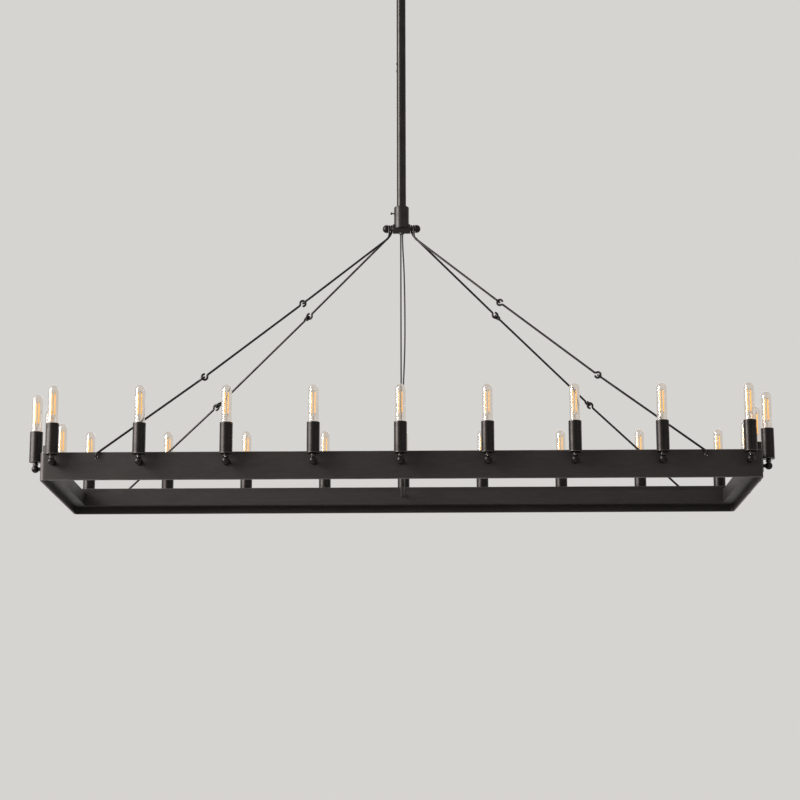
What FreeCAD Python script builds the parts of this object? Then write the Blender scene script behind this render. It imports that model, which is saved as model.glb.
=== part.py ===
"""Linear island pendant: a flat-bar frame of candle lamps hung from a stem by four hooked-rod chains.

All sizes are in millimetres. The origin is the centre of the ceiling face, +Z is up and
+X runs along the frame. Each piece is one solid, and each node is written to parts/NODE.step.
"""
import FreeCAD, Part
import math
import os

V = FreeCAD.Vector
UP = V(0, 0, 1)

# ---------------------------------------------------------------- driving dimensions
# Frame: a flat bar bent on edge into a rectangle, with a wire channel inside it
frame_length = 1524.0
frame_width = 448.0
band_height = 60.0
band_thickness = 4.0
band_corner_radius = 9.0
channel_depth = 25.0
channel_height = 30.0
channel_wall = 1.5
channel_drop = 14.2            # channel top below the band's top edge

# Lamps: how many stand on each side, and how far apart
long_side_lamps = 9
short_side_lamps = 3
long_side_pitch = 183.4
short_side_pitch = 155.0
lamp_standoff = 22.0           # lamp axis from the band's outer face
arm_drop = 23.5                # arm axis below the band's top edge
arm_diameter = 8.0
arm_bore = 4.4
arm_washer_diameter = 13.0
arm_washer_thickness = 1.5
arm_nut_flats = 13.0
arm_nut_thickness = 5.0
arm_thread_past_nut = 1.5
ball_diameter = 16.5
ball_cavity_diameter = 10.4
nipple_diameter = 6.4
nipple_above_floor = 6.0
bead_diameter = 12.4
bead_thickness = 3.4
bead_edge_radius = 1.4
seat_collar_diameter = 9.4
cup_above_arm = 14.8           # underside of the cup above the arm axis
cup_diameter = 27.6
cup_length = 66.2
cup_wall = 1.2
cup_floor = 1.5
cup_lip_radius = 0.5
socket_diameter = 22.4
socket_below_rim = 15.5        # top of the socket below the cup's rim
socket_cavity_depth = 26.0
screw_shell_length = 22.0
screw_shell_wall = 0.3
contact_thickness = 1.0

# Bulb: tubular filament lamp on a small screw cap
bulb_diameter = 22.0
bulb_above_rim = 81.7          # tip of the glass above the cup's rim
bulb_shoulder_below_rim = 5.5
bulb_neck_diameter = 10.8
glass_wall = 0.9
cap_diameter = 11.9
cap_length = 23.0
cap_thread_pitch = 2.5
cap_thread_depth = 0.5
cap_threads = 6
mount_flare_diameter = 8.6
mount_stalk_diameter = 3.2
mount_height = 24.0
filament_count = 4
filament_diameter = 1.9
filament_length = 50.0
filament_circle_diameter = 9.6
filament_base_height = 31.0    # lower end of the filaments above the bulb's neck
support_wire_diameter = 0.7
glass_seat_height = 1.2        # neck of the glass above the top of the socket

# Suspension chains: four chains of three hooked rods
rod_diameter = 4.76
eye_ring_radius = 6.2          # centre line of the eye's ring
eye_neck_radius = 6.0
eye_ring_turn = 284.0          # degrees of ring that the wire makes
upper_joint_share = 0.305      # where the joints fall between the hub and the frame
lower_joint_share = 0.65
upper_joint_sag = 5.1          # joints below the straight line from hub to frame
lower_joint_sag = 7.2
front_hook_leg = 22.2          # bend of the hub hook below the pin
back_hook_leg = 15.3
back_hook_lean = 4.3           # the inner hooks lean out on their way down
hook_straight = 6.0            # the leaning hooks fall straight this far first
hook_tail = 3.0
hook_bend_radius = 18.0
hook_lean_radius = 12.0
anchor_spacing = 1285.4        # between the frame holes of one long side
anchor_drop = 11.5             # hole centre below the band's top edge
anchor_hole_diameter = 6.2
anchor_bend_drop = 5.1         # bend of the frame hook below the band's top edge
anchor_standoff = 5.6          # frame hook's leg from the band's outer face
anchor_bend_radius = 4.3
anchor_hook_radius = 4.2
anchor_tail = 8.0              # hook beyond the band's inner face

# Hub: a tee with two side pins that carry the hooks, closed by ball nuts
suspension_rise = 555.3        # pin axis above the band's top edge
tee_collar_diameter = 34.0
tee_collar_rise = 51.0         # top of the collar above the pin axis
tee_collar_edge_radius = 2.2
tee_barrel_diameter = 22.0
tee_barrel_length = 40.0
tee_barrel_chamfer = 0.8
tee_socket_depth = 32.0
tee_wire_bore = 11.0
pin_diameter = 8.0
pin_length_in_tee = 11.0
ball_nut_diameter = 18.4
ball_nut_centre_past_seat = 3.4
ball_nut_hole_depth = 8.0
bushing_bore = 7.8
bushing_length = 13.0
bushing_below_tee = 1.5
set_screw_diameter = 3.0
set_screw_head_diameter = 5.6
set_screw_head_length = 3.4
set_screw_reach = 8.0          # shank of the set screw that shows outside the collar
set_screw_above_pin = 36.5

# Stem: two lengths of pipe joined by a hidden sleeve
pipe_diameter = 21.3
pipe_wall = 2.0
upper_pipe_length = 360.0
lower_pipe_length = 368.0
sleeve_length = 64.0
sleeve_wall = 2.4
joint_screw_spacing = 18.0
joint_screw_diameter = 4.0
joint_screw_head_diameter = 6.4
joint_screw_head_height = 1.2
joint_screw_angle = 205.0      # degrees about the stem from +X

# Swivel under the canopy
hanger_diameter = 12.7
hanger_bore = 8.0
hanger_flange_diameter = 20.0
hanger_flange_thickness = 3.0
hanger_flange_below_canopy = 10.0
swivel_head_diameter = 28.0
swivel_cavity_diameter = 21.0
swivel_cavity_below_flange = 3.0
swivel_slot_width = 16.0
swivel_pin_below_cavity = 11.0
swivel_ear_radius = 12.0
swivel_pin_diameter = 6.0
swivel_pin_head_diameter = 9.5
swivel_pin_head_thickness = 2.2
tongue_top_radius = 9.0
tongue_shoulder_below_pin = 13.0
tongue_socket_diameter = 27.0
tongue_socket_length = 24.0
tongue_shoulder_thickness = 4.0
tongue_wire_bore = 9.0

# Canopy and what it hides
canopy_diameter = 130.0
canopy_height = 25.0
canopy_wall = 1.5
canopy_edge_radius = 5.0
crossbar_length = 112.0
crossbar_width = 20.0
crossbar_thickness = 2.5
box_screw_spacing = 88.9
box_slot_length = 14.0
box_slot_width = 4.6
canopy_stud_spacing = 54.0
canopy_stud_diameter = 4.0
cap_nut_diameter = 10.0
cap_nut_hole_depth = 6.0
lock_nut_flats = 19.0
lock_nut_thickness = 5.0
ground_screw_offset = 16.0
ground_screw_diameter = 3.5
ground_screw_head_diameter = 7.0
ground_screw_head_thickness = 2.0

# Cords and wires
cord_diameter = 3.4
cord_spacing = 3.9             # between the two cords where they leave the hub
cord_entry_gap = 0.4           # between the two grommets' flanges in the channel
cord_entry_shift = 0.0         # middle of the two holes from the frame's middle
cord_entry_drop = 24.0         # cord holes below the band's top edge
cord_first_run = 22.0
cord_last_run = 20.0
slack_bow = 4.0                # how far the slack cord stands out sideways
grommet_flange_diameter = 7.6
grommet_flange_thickness = 1.0
grommet_bore_gap = 0.15
loom_diameter = 5.0
loom_from_band = 17.0          # loom axis from the band's inner face
loom_drop = 27.0               # loom axis below the band's top edge
lead_diameter = 2.2

# Clearances
fit_gap = 0.1                  # radial clearance of fitted and threaded pieces
running_gap = 0.3              # between pieces that move past each other

# ---------------------------------------------------------------- derived levels and reaches
rod_radius = rod_diameter / 2
canopy_bottom = -canopy_height
hanger_flange_top = canopy_bottom - hanger_flange_below_canopy
hanger_flange_bottom = hanger_flange_top - hanger_flange_thickness
swivel_head_top = canopy_bottom - running_gap
swivel_cavity_bottom = hanger_flange_bottom - swivel_cavity_below_flange
swivel_axis_z = swivel_cavity_bottom - swivel_pin_below_cavity
tongue_shoulder_top = swivel_axis_z - tongue_shoulder_below_pin
upper_pipe_top = tongue_shoulder_top - tongue_shoulder_thickness
pipe_joint_z = upper_pipe_top - upper_pipe_length
lower_pipe_bottom = pipe_joint_z - lower_pipe_length
pin_axis_z = lower_pipe_bottom + tee_socket_depth - tee_collar_rise
band_top = pin_axis_z - suspension_rise
band_bottom = band_top - band_height
arm_axis_z = band_top - arm_drop
channel_top = band_top - channel_drop
channel_bottom = channel_top - channel_height
cup_bottom = cup_above_arm
cup_top = cup_bottom + cup_length
socket_top = cup_top - socket_below_rim
socket_bottom = cup_bottom + cup_floor + fit_gap
socket_cavity_floor = socket_top - socket_cavity_depth
neck_level = socket_top + glass_seat_height
bulb_tip = cup_top + bulb_above_rim
eye_step = 2 * eye_ring_radius - rod_diameter - running_gap
hook_ring_radius = pin_diameter / 2 + running_gap + rod_radius
hook_slot = 2 * rod_diameter + 3 * running_gap
ball_nut_seat_x = tee_barrel_length / 2 + hook_slot
cord_entry_spacing = grommet_flange_diameter + cord_entry_gap


# ---------------------------------------------------------------- shape helpers
def cylinder(radius, start, end):
    """Solid cylinder between two points on its axis."""
    axis = end.sub(start)
    return Part.makeCylinder(radius, axis.Length, start, axis)


def tube(outer_radius, inner_radius, start, end):
    """Hollow cylinder between two points on its axis."""
    return cylinder(outer_radius, start, end).cut(cylinder(inner_radius, start, end))


def block(low, high):
    """Box between its lowest and highest corners."""
    size = high.sub(low)
    return Part.makeBox(size.x, size.y, size.z, low)


def hex_prism(across_flats, start, end):
    """Six-sided prism between two points on its axis."""
    axis = end.sub(start)
    across = UP if abs(axis.z) < axis.Length / 2 else V(1, 0, 0)
    other = axis.cross(across)
    other.normalize()
    reach = across_flats / math.sqrt(3)
    corners = []
    for step in range(6):
        angle = math.radians(60 * step)
        corners.append(start.add(across * (reach * math.cos(angle))).add(other * (reach * math.sin(angle))))
    return Part.Face(Part.makePolygon(corners + corners[:1])).extrude(axis)


def turned(edges):
    """Solid of revolution about Z from a closed profile drawn in the XZ plane."""
    return Part.Face(Part.Wire(edges)).revolve(V(0, 0, 0), UP, 360)


def polygon_edges(points):
    """Straight edges of a closed profile, from (radius, height) pairs."""
    corners = [V(radius, 0, height) for radius, height in points]
    return [Part.LineSegment(a, b).toShape() for a, b in zip(corners, corners[1:] + corners[:1])]


def arc(start, middle, end):
    """Circular edge through three points."""
    return Part.Arc(start, middle, end).toShape()


def line(start, end):
    """Straight edge between two points."""
    return Part.LineSegment(start, end).toShape()


def rounded_path(points, radii):
    """Edges along the points, with a tangent arc of the given radius at each inner point."""
    edges = []
    here = points[0]
    for corner, following, radius in zip(points[1:-1], points[2:], radii):
        come = corner.sub(here)
        come.normalize()
        go = following.sub(corner)
        go.normalize()
        half_turn = come.getAngle(go) / 2
        inward = go.sub(come)
        inward.normalize()
        tangent = radius * math.tan(half_turn)
        arc_start = corner.sub(come * tangent)
        arc_end = corner.add(go * tangent)
        crown = corner.add(inward * (radius / math.cos(half_turn) - radius))
        edges += [line(here, arc_start), arc(arc_start, crown, arc_end)]
        here = arc_end
    return edges + [line(here, points[-1])]


def pipe(edges, radius):
    """Round bar of the given radius along a chain of tangent edges."""
    wire = Part.Wire(edges)
    first = wire.OrderedEdges[0]
    start = wire.OrderedVertexes[0].Point
    if first.valueAt(first.FirstParameter).distanceToPoint(start) < 1e-6:
        heading = first.tangentAt(first.FirstParameter)
    else:
        heading = first.tangentAt(first.LastParameter) * -1
    section = Part.Wire(Part.Circle(start, heading, radius).toShape())
    bar = wire.makePipeShell([section], True, False)
    expected = math.pi * radius ** 2 * wire.Length
    if abs(bar.Volume / expected - 1) > 0.002:
        print("bar volume", round(bar.Volume, 1), "section times length", round(expected, 1))
    return bar


def rounded_slab(length, width, radius, bottom, top):
    """Rectangular slab about the Z axis with rounded upright corners."""
    half = V(length / 2, width / 2, 0)
    slab = block(V(-half.x, -half.y, bottom), V(half.x, half.y, top))
    upright = [edge for edge in slab.Edges
               if abs(edge.Vertexes[0].Point.z - edge.Vertexes[1].Point.z) > (top - bottom) / 2]
    return slab.makeFillet(radius, upright)


def save(name, solids):
    """Write one node, made of one or more separate solids."""
    solids = solids if isinstance(solids, list) else [solids]
    whole = []
    for shape in solids:
        whole += shape.Solids
    shape = whole[0] if len(whole) == 1 else Part.makeCompound(whole)
    shape.exportStep(os.path.join("parts", name + ".step"))
    print(name, len(whole), "solids", "valid" if shape.isValid() else "NOT VALID")


# ---------------------------------------------------------------- ceiling pieces
def canopy_stud_places():
    """Where the two studs that hold the canopy stand."""
    return [V(side * canopy_stud_spacing / 2, 0, 0) for side in (-1, 1)]


def make_canopy():
    """Shallow spun cover, open towards the ceiling."""
    radius = canopy_diameter / 2
    outer = cylinder(radius, V(0, 0, canopy_bottom), V(0, 0, 0))
    rim = [edge for edge in outer.Edges
           if edge.Closed and abs(edge.BoundBox.ZMax - canopy_bottom) < fit_gap]
    outer = outer.makeFillet(canopy_edge_radius, rim)
    inside = cylinder(radius - canopy_wall, V(0, 0, canopy_bottom + canopy_wall), V(0, 0, canopy_height))
    floor_rim = [edge for edge in inside.Edges
                 if edge.Closed and abs(edge.BoundBox.ZMax - canopy_bottom - canopy_wall) < fit_gap]
    inside = inside.makeFillet(canopy_edge_radius - canopy_wall, floor_rim)
    shell = outer.cut(inside)
    drills = [cylinder(hanger_diameter / 2 + running_gap, V(0, 0, canopy_bottom), V(0, 0, 0))]
    for place in canopy_stud_places():
        drills.append(cylinder(canopy_stud_diameter / 2 + running_gap, place.add(V(0, 0, canopy_bottom)), place))
    return shell.cut(drills)


def box_slot(centre):
    """Cutter for one rounded slot that runs along the crossbar."""
    radius = box_slot_width / 2
    reach = box_slot_length / 2 - radius
    below = V(0, 0, -crossbar_thickness)
    slot = block(centre.add(V(-reach, -radius, -crossbar_thickness)), centre.add(V(reach, radius, 0)))
    ends = [cylinder(radius, centre.add(V(side * reach, 0, 0)).add(below), centre.add(V(side * reach, 0, 0)))
            for side in (-1, 1)]
    return slot.fuse(ends).removeSplitter()


def ground_screw_place():
    """Where the earth screw passes through the crossbar."""
    return V(ground_screw_offset, 0, 0)


def make_crossbar():
    """Strap that screws to the ceiling box and carries the hanger."""
    bar = block(V(-crossbar_length / 2, -crossbar_width / 2, -crossbar_thickness),
                V(crossbar_length / 2, crossbar_width / 2, 0))
    corners = [edge for edge in bar.Edges if edge.BoundBox.ZLength > crossbar_thickness / 2]
    bar = bar.makeFillet(crossbar_width / 5, corners)
    below = V(0, 0, -crossbar_thickness)
    cutters = [box_slot(V(side * box_screw_spacing / 2, 0, 0)) for side in (-1, 1)]
    cutters.append(cylinder(hanger_diameter / 2 + fit_gap, below, V(0, 0, 0)))
    cutters.append(cylinder(ground_screw_diameter / 2 + fit_gap, ground_screw_place().add(below),
                            ground_screw_place()))
    for place in canopy_stud_places():
        cutters.append(cylinder(canopy_stud_diameter / 2 + fit_gap, place.add(below), place))
    return bar.cut(cutters)


def make_canopy_stud(place):
    """Threaded stud from the crossbar through the canopy."""
    end = V(0, 0, canopy_bottom - cap_nut_hole_depth + running_gap)
    return cylinder(canopy_stud_diameter / 2, place.add(end), place)


def make_cap_nut(place):
    """Domed nut under the canopy, with a blind hole for the stud."""
    radius = cap_nut_diameter / 2
    seat = place.add(V(0, 0, canopy_bottom))
    dome_centre = seat.add(V(0, 0, -radius * 0.6))
    ball = Part.makeSphere(radius, dome_centre)
    above = block(seat.add(V(-radius, -radius, 0)), seat.add(V(radius, radius, radius)))
    hole = cylinder(canopy_stud_diameter / 2 + fit_gap, seat.add(V(0, 0, -cap_nut_hole_depth)), seat)
    return ball.cut([above, hole])


def make_hanger():
    """Hollow threaded hanger: fixed in the crossbar, with a flange that the swivel hangs on."""
    tall = cylinder(hanger_diameter / 2, V(0, 0, hanger_flange_bottom), V(0, 0, 0))
    flange = cylinder(hanger_flange_diameter / 2, V(0, 0, hanger_flange_bottom), V(0, 0, hanger_flange_top))
    bore = cylinder(hanger_bore / 2, V(0, 0, hanger_flange_bottom), V(0, 0, 0))
    return tall.fuse(flange).cut(bore)


def make_lock_nut():
    """Nut that locks the hanger under the crossbar."""
    start = V(0, 0, -crossbar_thickness - lock_nut_thickness)
    end = V(0, 0, -crossbar_thickness)
    return hex_prism(lock_nut_flats, start, end).cut(cylinder(hanger_diameter / 2 + fit_gap, start, end))


def make_ground_screw():
    """Small earth screw with its head under the crossbar."""
    place = ground_screw_place()
    head_top = place.add(V(0, 0, -crossbar_thickness))
    head_bottom = head_top.add(V(0, 0, -ground_screw_head_thickness))
    head = cylinder(ground_screw_head_diameter / 2, head_bottom, head_top)
    return head.fuse(cylinder(ground_screw_diameter / 2, head_bottom, place))


# ---------------------------------------------------------------- swivel
def swivel_slot(width, bottom):
    """Block as wide as the gap between the swivel's ears."""
    reach = swivel_head_diameter
    return block(V(-reach, -width / 2, bottom), V(reach, width / 2, swivel_cavity_bottom + fit_gap))


def make_swivel_head():
    """Cup that turns on the hanger's flange, with two ears for the tilt pin."""
    axis = V(0, 0, swivel_axis_z)
    ear_bottom = swivel_axis_z - swivel_ear_radius
    body = cylinder(swivel_head_diameter / 2, V(0, 0, swivel_axis_z), V(0, 0, swivel_head_top))
    crown = V(0, swivel_head_diameter / 2, 0)
    ears = cylinder(swivel_ear_radius, axis.sub(crown), axis.add(crown))
    ears = ears.common(cylinder(swivel_head_diameter / 2, V(0, 0, ear_bottom), V(0, 0, swivel_head_top)))
    side = swivel_head_diameter
    trims = [block(V(swivel_ear_radius, -side, swivel_axis_z), V(side, side, swivel_cavity_bottom)),
             block(V(-side, -side, swivel_axis_z), V(-swivel_ear_radius, side, swivel_cavity_bottom))]
    wall_bottom = hanger_flange_top + running_gap
    cavity = cylinder(swivel_cavity_diameter / 2, V(0, 0, swivel_cavity_bottom), V(0, 0, wall_bottom))
    neck = cylinder(hanger_diameter / 2 + fit_gap, V(0, 0, swivel_cavity_bottom), V(0, 0, swivel_head_top))
    pin_hole = cylinder(swivel_pin_diameter / 2 + fit_gap, axis.sub(crown), axis.add(crown))
    slot = swivel_slot(swivel_slot_width, ear_bottom - fit_gap)
    return body.cut(trims).fuse(ears).cut([cavity, neck, slot, pin_hole])


def make_swivel_pin():
    """Tilt pin across the ears, with a flat head at one end."""
    axis = V(0, 0, swivel_axis_z)
    half = swivel_head_diameter / 2
    shank = cylinder(swivel_pin_diameter / 2, axis.add(V(0, -half - fit_gap, 0)),
                     axis.add(V(0, half + swivel_pin_head_thickness, 0)))
    head = cylinder(swivel_pin_head_diameter / 2, axis.add(V(0, -half - fit_gap - swivel_pin_head_thickness, 0)),
                    axis.add(V(0, -half - fit_gap, 0)))
    return shank.fuse(head)


def make_swivel_clip():
    """Ring that keeps the tilt pin in the ears."""
    start = V(0, swivel_head_diameter / 2 + fit_gap, swivel_axis_z)
    end = start.add(V(0, swivel_pin_head_thickness - 2 * fit_gap, 0))
    return tube(swivel_pin_head_diameter / 2, swivel_pin_diameter / 2 + fit_gap, start, end)


def make_swivel_tongue():
    """Knuckle between the ears, with a socket below for the upper pipe."""
    half = swivel_slot_width / 2 - running_gap
    axis = V(0, 0, swivel_axis_z)
    knuckle = cylinder(tongue_top_radius, axis.add(V(0, -half, 0)), axis.add(V(0, half, 0)))
    web = block(V(-tongue_top_radius, -half, tongue_shoulder_top), V(tongue_top_radius, half, swivel_axis_z))
    socket_bottom_z = tongue_shoulder_top - tongue_socket_length
    socket = cylinder(tongue_socket_diameter / 2, V(0, 0, socket_bottom_z), V(0, 0, tongue_shoulder_top))
    pin_hole = cylinder(swivel_pin_diameter / 2 + fit_gap, axis.add(V(0, -half, 0)), axis.add(V(0, half, 0)))
    pipe_bore = cylinder(pipe_diameter / 2 + fit_gap, V(0, 0, socket_bottom_z), V(0, 0, upper_pipe_top))
    wire_bore = cylinder(tongue_wire_bore / 2, V(0, 0, socket_bottom_z),
                         V(0, 0, (tongue_shoulder_top + swivel_axis_z) / 2))
    return knuckle.fuse([web, socket]).cut([pin_hole, pipe_bore, wire_bore])


# ---------------------------------------------------------------- stem
def joint_screw_places():
    """Heights of the two small screws that lock the sleeve, one in each pipe."""
    return [pipe_joint_z + side * joint_screw_spacing / 2 for side in (-1, 1)]


def joint_screw_heading():
    """Direction in which the joint screws face."""
    angle = math.radians(joint_screw_angle)
    return V(math.cos(angle), math.sin(angle), 0)


def drill_joint_screws(shape):
    """Cut the joint screws' holes through one wall."""
    drills = [cylinder(joint_screw_diameter / 2 + fit_gap, V(0, 0, level),
                       V(0, 0, level).add(joint_screw_heading() * pipe_diameter))
              for level in joint_screw_places()]
    return shape.cut(drills)


def make_pipe(bottom, top):
    """One length of stem pipe."""
    radius = pipe_diameter / 2
    return drill_joint_screws(tube(radius, radius - pipe_wall, V(0, 0, bottom), V(0, 0, top)))


def make_sleeve():
    """Hidden sleeve that joins the two pipes."""
    radius = pipe_diameter / 2 - pipe_wall - fit_gap
    half = sleeve_length / 2
    return drill_joint_screws(tube(radius, radius - sleeve_wall, V(0, 0, pipe_joint_z - half),
                                   V(0, 0, pipe_joint_z + half)))


def make_joint_screw(level):
    """Low round-headed screw through the pipe into the sleeve."""
    heading = joint_screw_heading()
    surface = V(0, 0, level).add(heading * (pipe_diameter / 2))
    tip = V(0, 0, level).add(heading * (pipe_diameter / 2 - pipe_wall - sleeve_wall))
    head_end = surface.add(heading * joint_screw_head_height)
    shank = cylinder(joint_screw_diameter / 2, tip, head_end)
    head = cylinder(joint_screw_head_diameter / 2, surface, head_end)
    seat = cylinder(pipe_diameter / 2, V(0, 0, level - joint_screw_head_diameter),
                    V(0, 0, level + joint_screw_head_diameter))
    return shank.fuse(head.cut(seat))


# ---------------------------------------------------------------- hub
def set_screw_axis():
    """Point of the set screw's axis on the stem's centre line."""
    return V(0, 0, pin_axis_z + set_screw_above_pin)


def make_hub_tee():
    """Tee: an upright collar for the stem on a short lying barrel for the pins."""
    axis = V(0, 0, pin_axis_z)
    top = V(0, 0, pin_axis_z + tee_collar_rise)
    half = V(tee_barrel_length / 2, 0, 0)
    collar = cylinder(tee_collar_diameter / 2, axis, top)
    rim = [edge for edge in collar.Edges if edge.Closed and abs(edge.BoundBox.ZMin - top.z) < fit_gap]
    collar = collar.makeFillet(tee_collar_edge_radius, rim)
    barrel = cylinder(tee_barrel_diameter / 2, axis.sub(half), axis.add(half))
    barrel = barrel.makeChamfer(tee_barrel_chamfer, [edge for edge in barrel.Edges if edge.BoundBox.XLength < fit_gap])
    stem_bore = cylinder(pipe_diameter / 2 + fit_gap, V(0, 0, lower_pipe_bottom), top)
    wire_bore = cylinder(tee_wire_bore / 2, V(0, 0, pin_axis_z - tee_barrel_diameter), top)
    cutters = [stem_bore, wire_bore]
    inner = V(tee_barrel_length / 2 - pin_length_in_tee, 0, 0)
    for side in (-1, 1):
        cutters.append(cylinder(pin_diameter / 2 + fit_gap, axis.add(inner * side), axis.add(half * side)))
    screw_axis = set_screw_axis()
    cutters.append(cylinder(set_screw_diameter / 2 + fit_gap, screw_axis, screw_axis.sub(V(tee_collar_diameter, 0, 0))))
    return collar.fuse(barrel).cut(cutters)


def make_hub_pin(side):
    """Side pin that the hooks hang on, screwed into the tee."""
    axis = V(0, 0, pin_axis_z)
    inner = tee_barrel_length / 2 - pin_length_in_tee
    outer = ball_nut_seat_x + ball_nut_hole_depth - running_gap
    return cylinder(pin_diameter / 2, axis.add(V(side * inner, 0, 0)), axis.add(V(side * outer, 0, 0)))


def make_ball_nut(side):
    """Ball nut that closes the pin, with a flat seat towards the hooks."""
    radius = ball_nut_diameter / 2
    seat = V(side * ball_nut_seat_x, 0, pin_axis_z)
    ball = Part.makeSphere(radius, seat.add(V(side * ball_nut_centre_past_seat, 0, 0)))
    flat = cylinder(ball_nut_diameter, seat.sub(V(side * ball_nut_diameter, 0, 0)), seat)
    hole = cylinder(pin_diameter / 2 + fit_gap, seat, seat.add(V(side * ball_nut_hole_depth, 0, 0)))
    return ball.cut([flat, hole])


def make_set_screw():
    """Thumb screw that locks the stem in the tee's collar."""
    axis = set_screw_axis()
    tip = axis.sub(V(pipe_diameter / 2 + running_gap, 0, 0))
    neck = axis.sub(V(tee_collar_diameter / 2 + set_screw_reach - set_screw_head_length, 0, 0))
    end = axis.sub(V(tee_collar_diameter / 2 + set_screw_reach, 0, 0))
    shank = cylinder(set_screw_diameter / 2, end, tip)
    head = cylinder(set_screw_head_diameter / 2, end, neck)
    head = head.makeFillet(set_screw_head_length / 4, [edge for edge in head.Edges if edge.BoundBox.XLength < fit_gap])
    return shank.fuse(head)


def bushing_bottom_z():
    """Lower end of the cord bushing."""
    return pin_axis_z - tee_barrel_diameter / 2 - bushing_below_tee


def make_cord_bushing():
    """Plastic bushing where the cords leave the tee."""
    bottom = V(0, 0, bushing_bottom_z())
    return tube(tee_wire_bore / 2 - fit_gap, bushing_bore / 2, bottom, bottom.add(V(0, 0, bushing_length)))


def make_stem_cord(side):
    """Cord hidden in the stem, from the hub up to the swivel."""
    x = side * cord_spacing / 2
    top = (tongue_shoulder_top + swivel_axis_z) / 2 - running_gap
    return cylinder(cord_diameter / 2, V(x, 0, bushing_bottom_z() + running_gap), V(x, 0, top))


# ---------------------------------------------------------------- suspension chains
def hook_slot_x(end_y):
    """Where a chain's hook sits on the pin; the front hooks sit outside the back ones."""
    inner_slot = tee_barrel_length / 2 + running_gap + rod_radius
    return inner_slot if end_y > 0 else inner_slot + rod_diameter + running_gap


def chain_corners(end_x, end_y):
    """Hub bend, upper joint, lower joint and frame bend of one chain; end_x and end_y are -1 or 1."""
    lean, leg = (back_hook_lean, back_hook_leg) if end_y > 0 else (0, front_hook_leg)
    hub_bend = V(end_x * (hook_slot_x(end_y) + lean), end_y * hook_ring_radius, pin_axis_z - leg)
    frame_bend = V(end_x * anchor_spacing / 2, end_y * (frame_width / 2 + anchor_standoff),
                   band_top - anchor_bend_drop)
    reach = frame_bend.sub(hub_bend)
    upper = hub_bend.add(reach * upper_joint_share).sub(UP * upper_joint_sag)
    lower = hub_bend.add(reach * lower_joint_share).sub(UP * lower_joint_sag)
    return [hub_bend, upper, lower, frame_bend]


def direction(start, end):
    """Unit direction from one point to another."""
    along = end.sub(start)
    return along.normalize()


def eye_edges(centre, toward, side):
    """Bent eye at the end of a rod: the neck swings aside, then the wire makes its ring.

    toward points along the rod into the eye, and side lies across it in the ring's plane.
    """
    ring = eye_ring_radius
    neck = eye_neck_radius
    back = math.sqrt(ring ** 2 + 2 * ring * neck)

    def at(forward, across):
        return centre.add(toward * forward).add(side * across)

    neck_start = at(-back, 0)
    contact_angle = math.atan2(neck, back)
    middle_angle = (math.pi / 2 + contact_angle) / 2
    neck_middle = at(-back + neck * math.cos(middle_angle), -neck + neck * math.sin(middle_angle))
    contact = at(-ring * math.cos(contact_angle), -ring * math.sin(contact_angle))
    start = math.pi + contact_angle
    turn = math.radians(eye_ring_turn)

    def on_ring(share):
        return at(ring * math.cos(start + share * turn), ring * math.sin(start + share * turn))

    return neck_start, [arc(neck_start, neck_middle, contact), arc(contact, on_ring(0.5), on_ring(1))]


def eye_sides(along):
    """Two directions across a chain: level, and upright."""
    level = along.cross(UP)
    level.normalize()
    upright = level.cross(along)
    upright.normalize()
    return level, upright


def make_upper_link(end_x, end_y):
    """Rod that hooks over the hub's pin; its eye is level on the front chains and upright on the back."""
    hub_bend, joint, _, _ = chain_corners(end_x, end_y)
    along = direction(hub_bend, joint)
    level, upright = eye_sides(along)
    over = V(end_x * hook_slot_x(end_y), 0, pin_axis_z)
    near = over.add(V(0, end_y * hook_ring_radius, 0))
    far = over.add(V(0, -end_y * hook_ring_radius, 0))
    crown = over.add(V(0, 0, hook_ring_radius))
    neck_start, eye = eye_edges(joint.sub(along * (eye_step / 2)), along, level if end_y < 0 else upright)
    points, radii = [near, hub_bend, neck_start], [hook_bend_radius]
    if abs(hub_bend.x) > abs(near.x):
        points.insert(1, near.sub(UP * hook_straight))
        radii.insert(0, hook_lean_radius)
    edges = [line(far.sub(UP * hook_tail), far), arc(far, crown, near)] + rounded_path(points, radii) + eye
    return pipe(edges, rod_radius)


def make_middle_link(end_x, end_y):
    """Straight rod with an eye at each end: level on the back chains, and on the front ones upright,
    with the necks on opposite sides of the rod."""
    _, upper, lower, _ = chain_corners(end_x, end_y)
    along = direction(upper, lower)
    level, upright = eye_sides(along)
    first_side, last_side = (upright * end_x, upright * -end_x) if end_y < 0 else (level, level)
    first = upper.add(along * (eye_step / 2))
    last = lower.sub(along * (eye_step / 2))
    first_neck, first_eye = eye_edges(first, along * -1, first_side)
    last_neck, last_eye = eye_edges(last, along, last_side)
    return pipe(first_eye[::-1] + [line(first_neck, last_neck)] + last_eye, rod_radius)


def make_lower_link(end_x, end_y):
    """Rod that ends in a hook over the band's edge and through its hole."""
    _, _, joint, frame_bend = chain_corners(end_x, end_y)
    along = direction(joint, frame_bend)
    level, upright = eye_sides(along)
    side = level if end_y < 0 else upright * -1
    neck_start, eye = eye_edges(joint.add(along * (eye_step / 2)), along * -1, side)
    corner = V(frame_bend.x, frame_bend.y, band_top - anchor_drop)
    inner_face = frame_width / 2 - band_thickness
    tail_tip = V(frame_bend.x, end_y * (inner_face - anchor_tail), corner.z)
    edges = eye[::-1] + rounded_path([neck_start, frame_bend, corner, tail_tip],
                                     [anchor_bend_radius, anchor_hook_radius])
    return pipe(edges, rod_radius)


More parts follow.
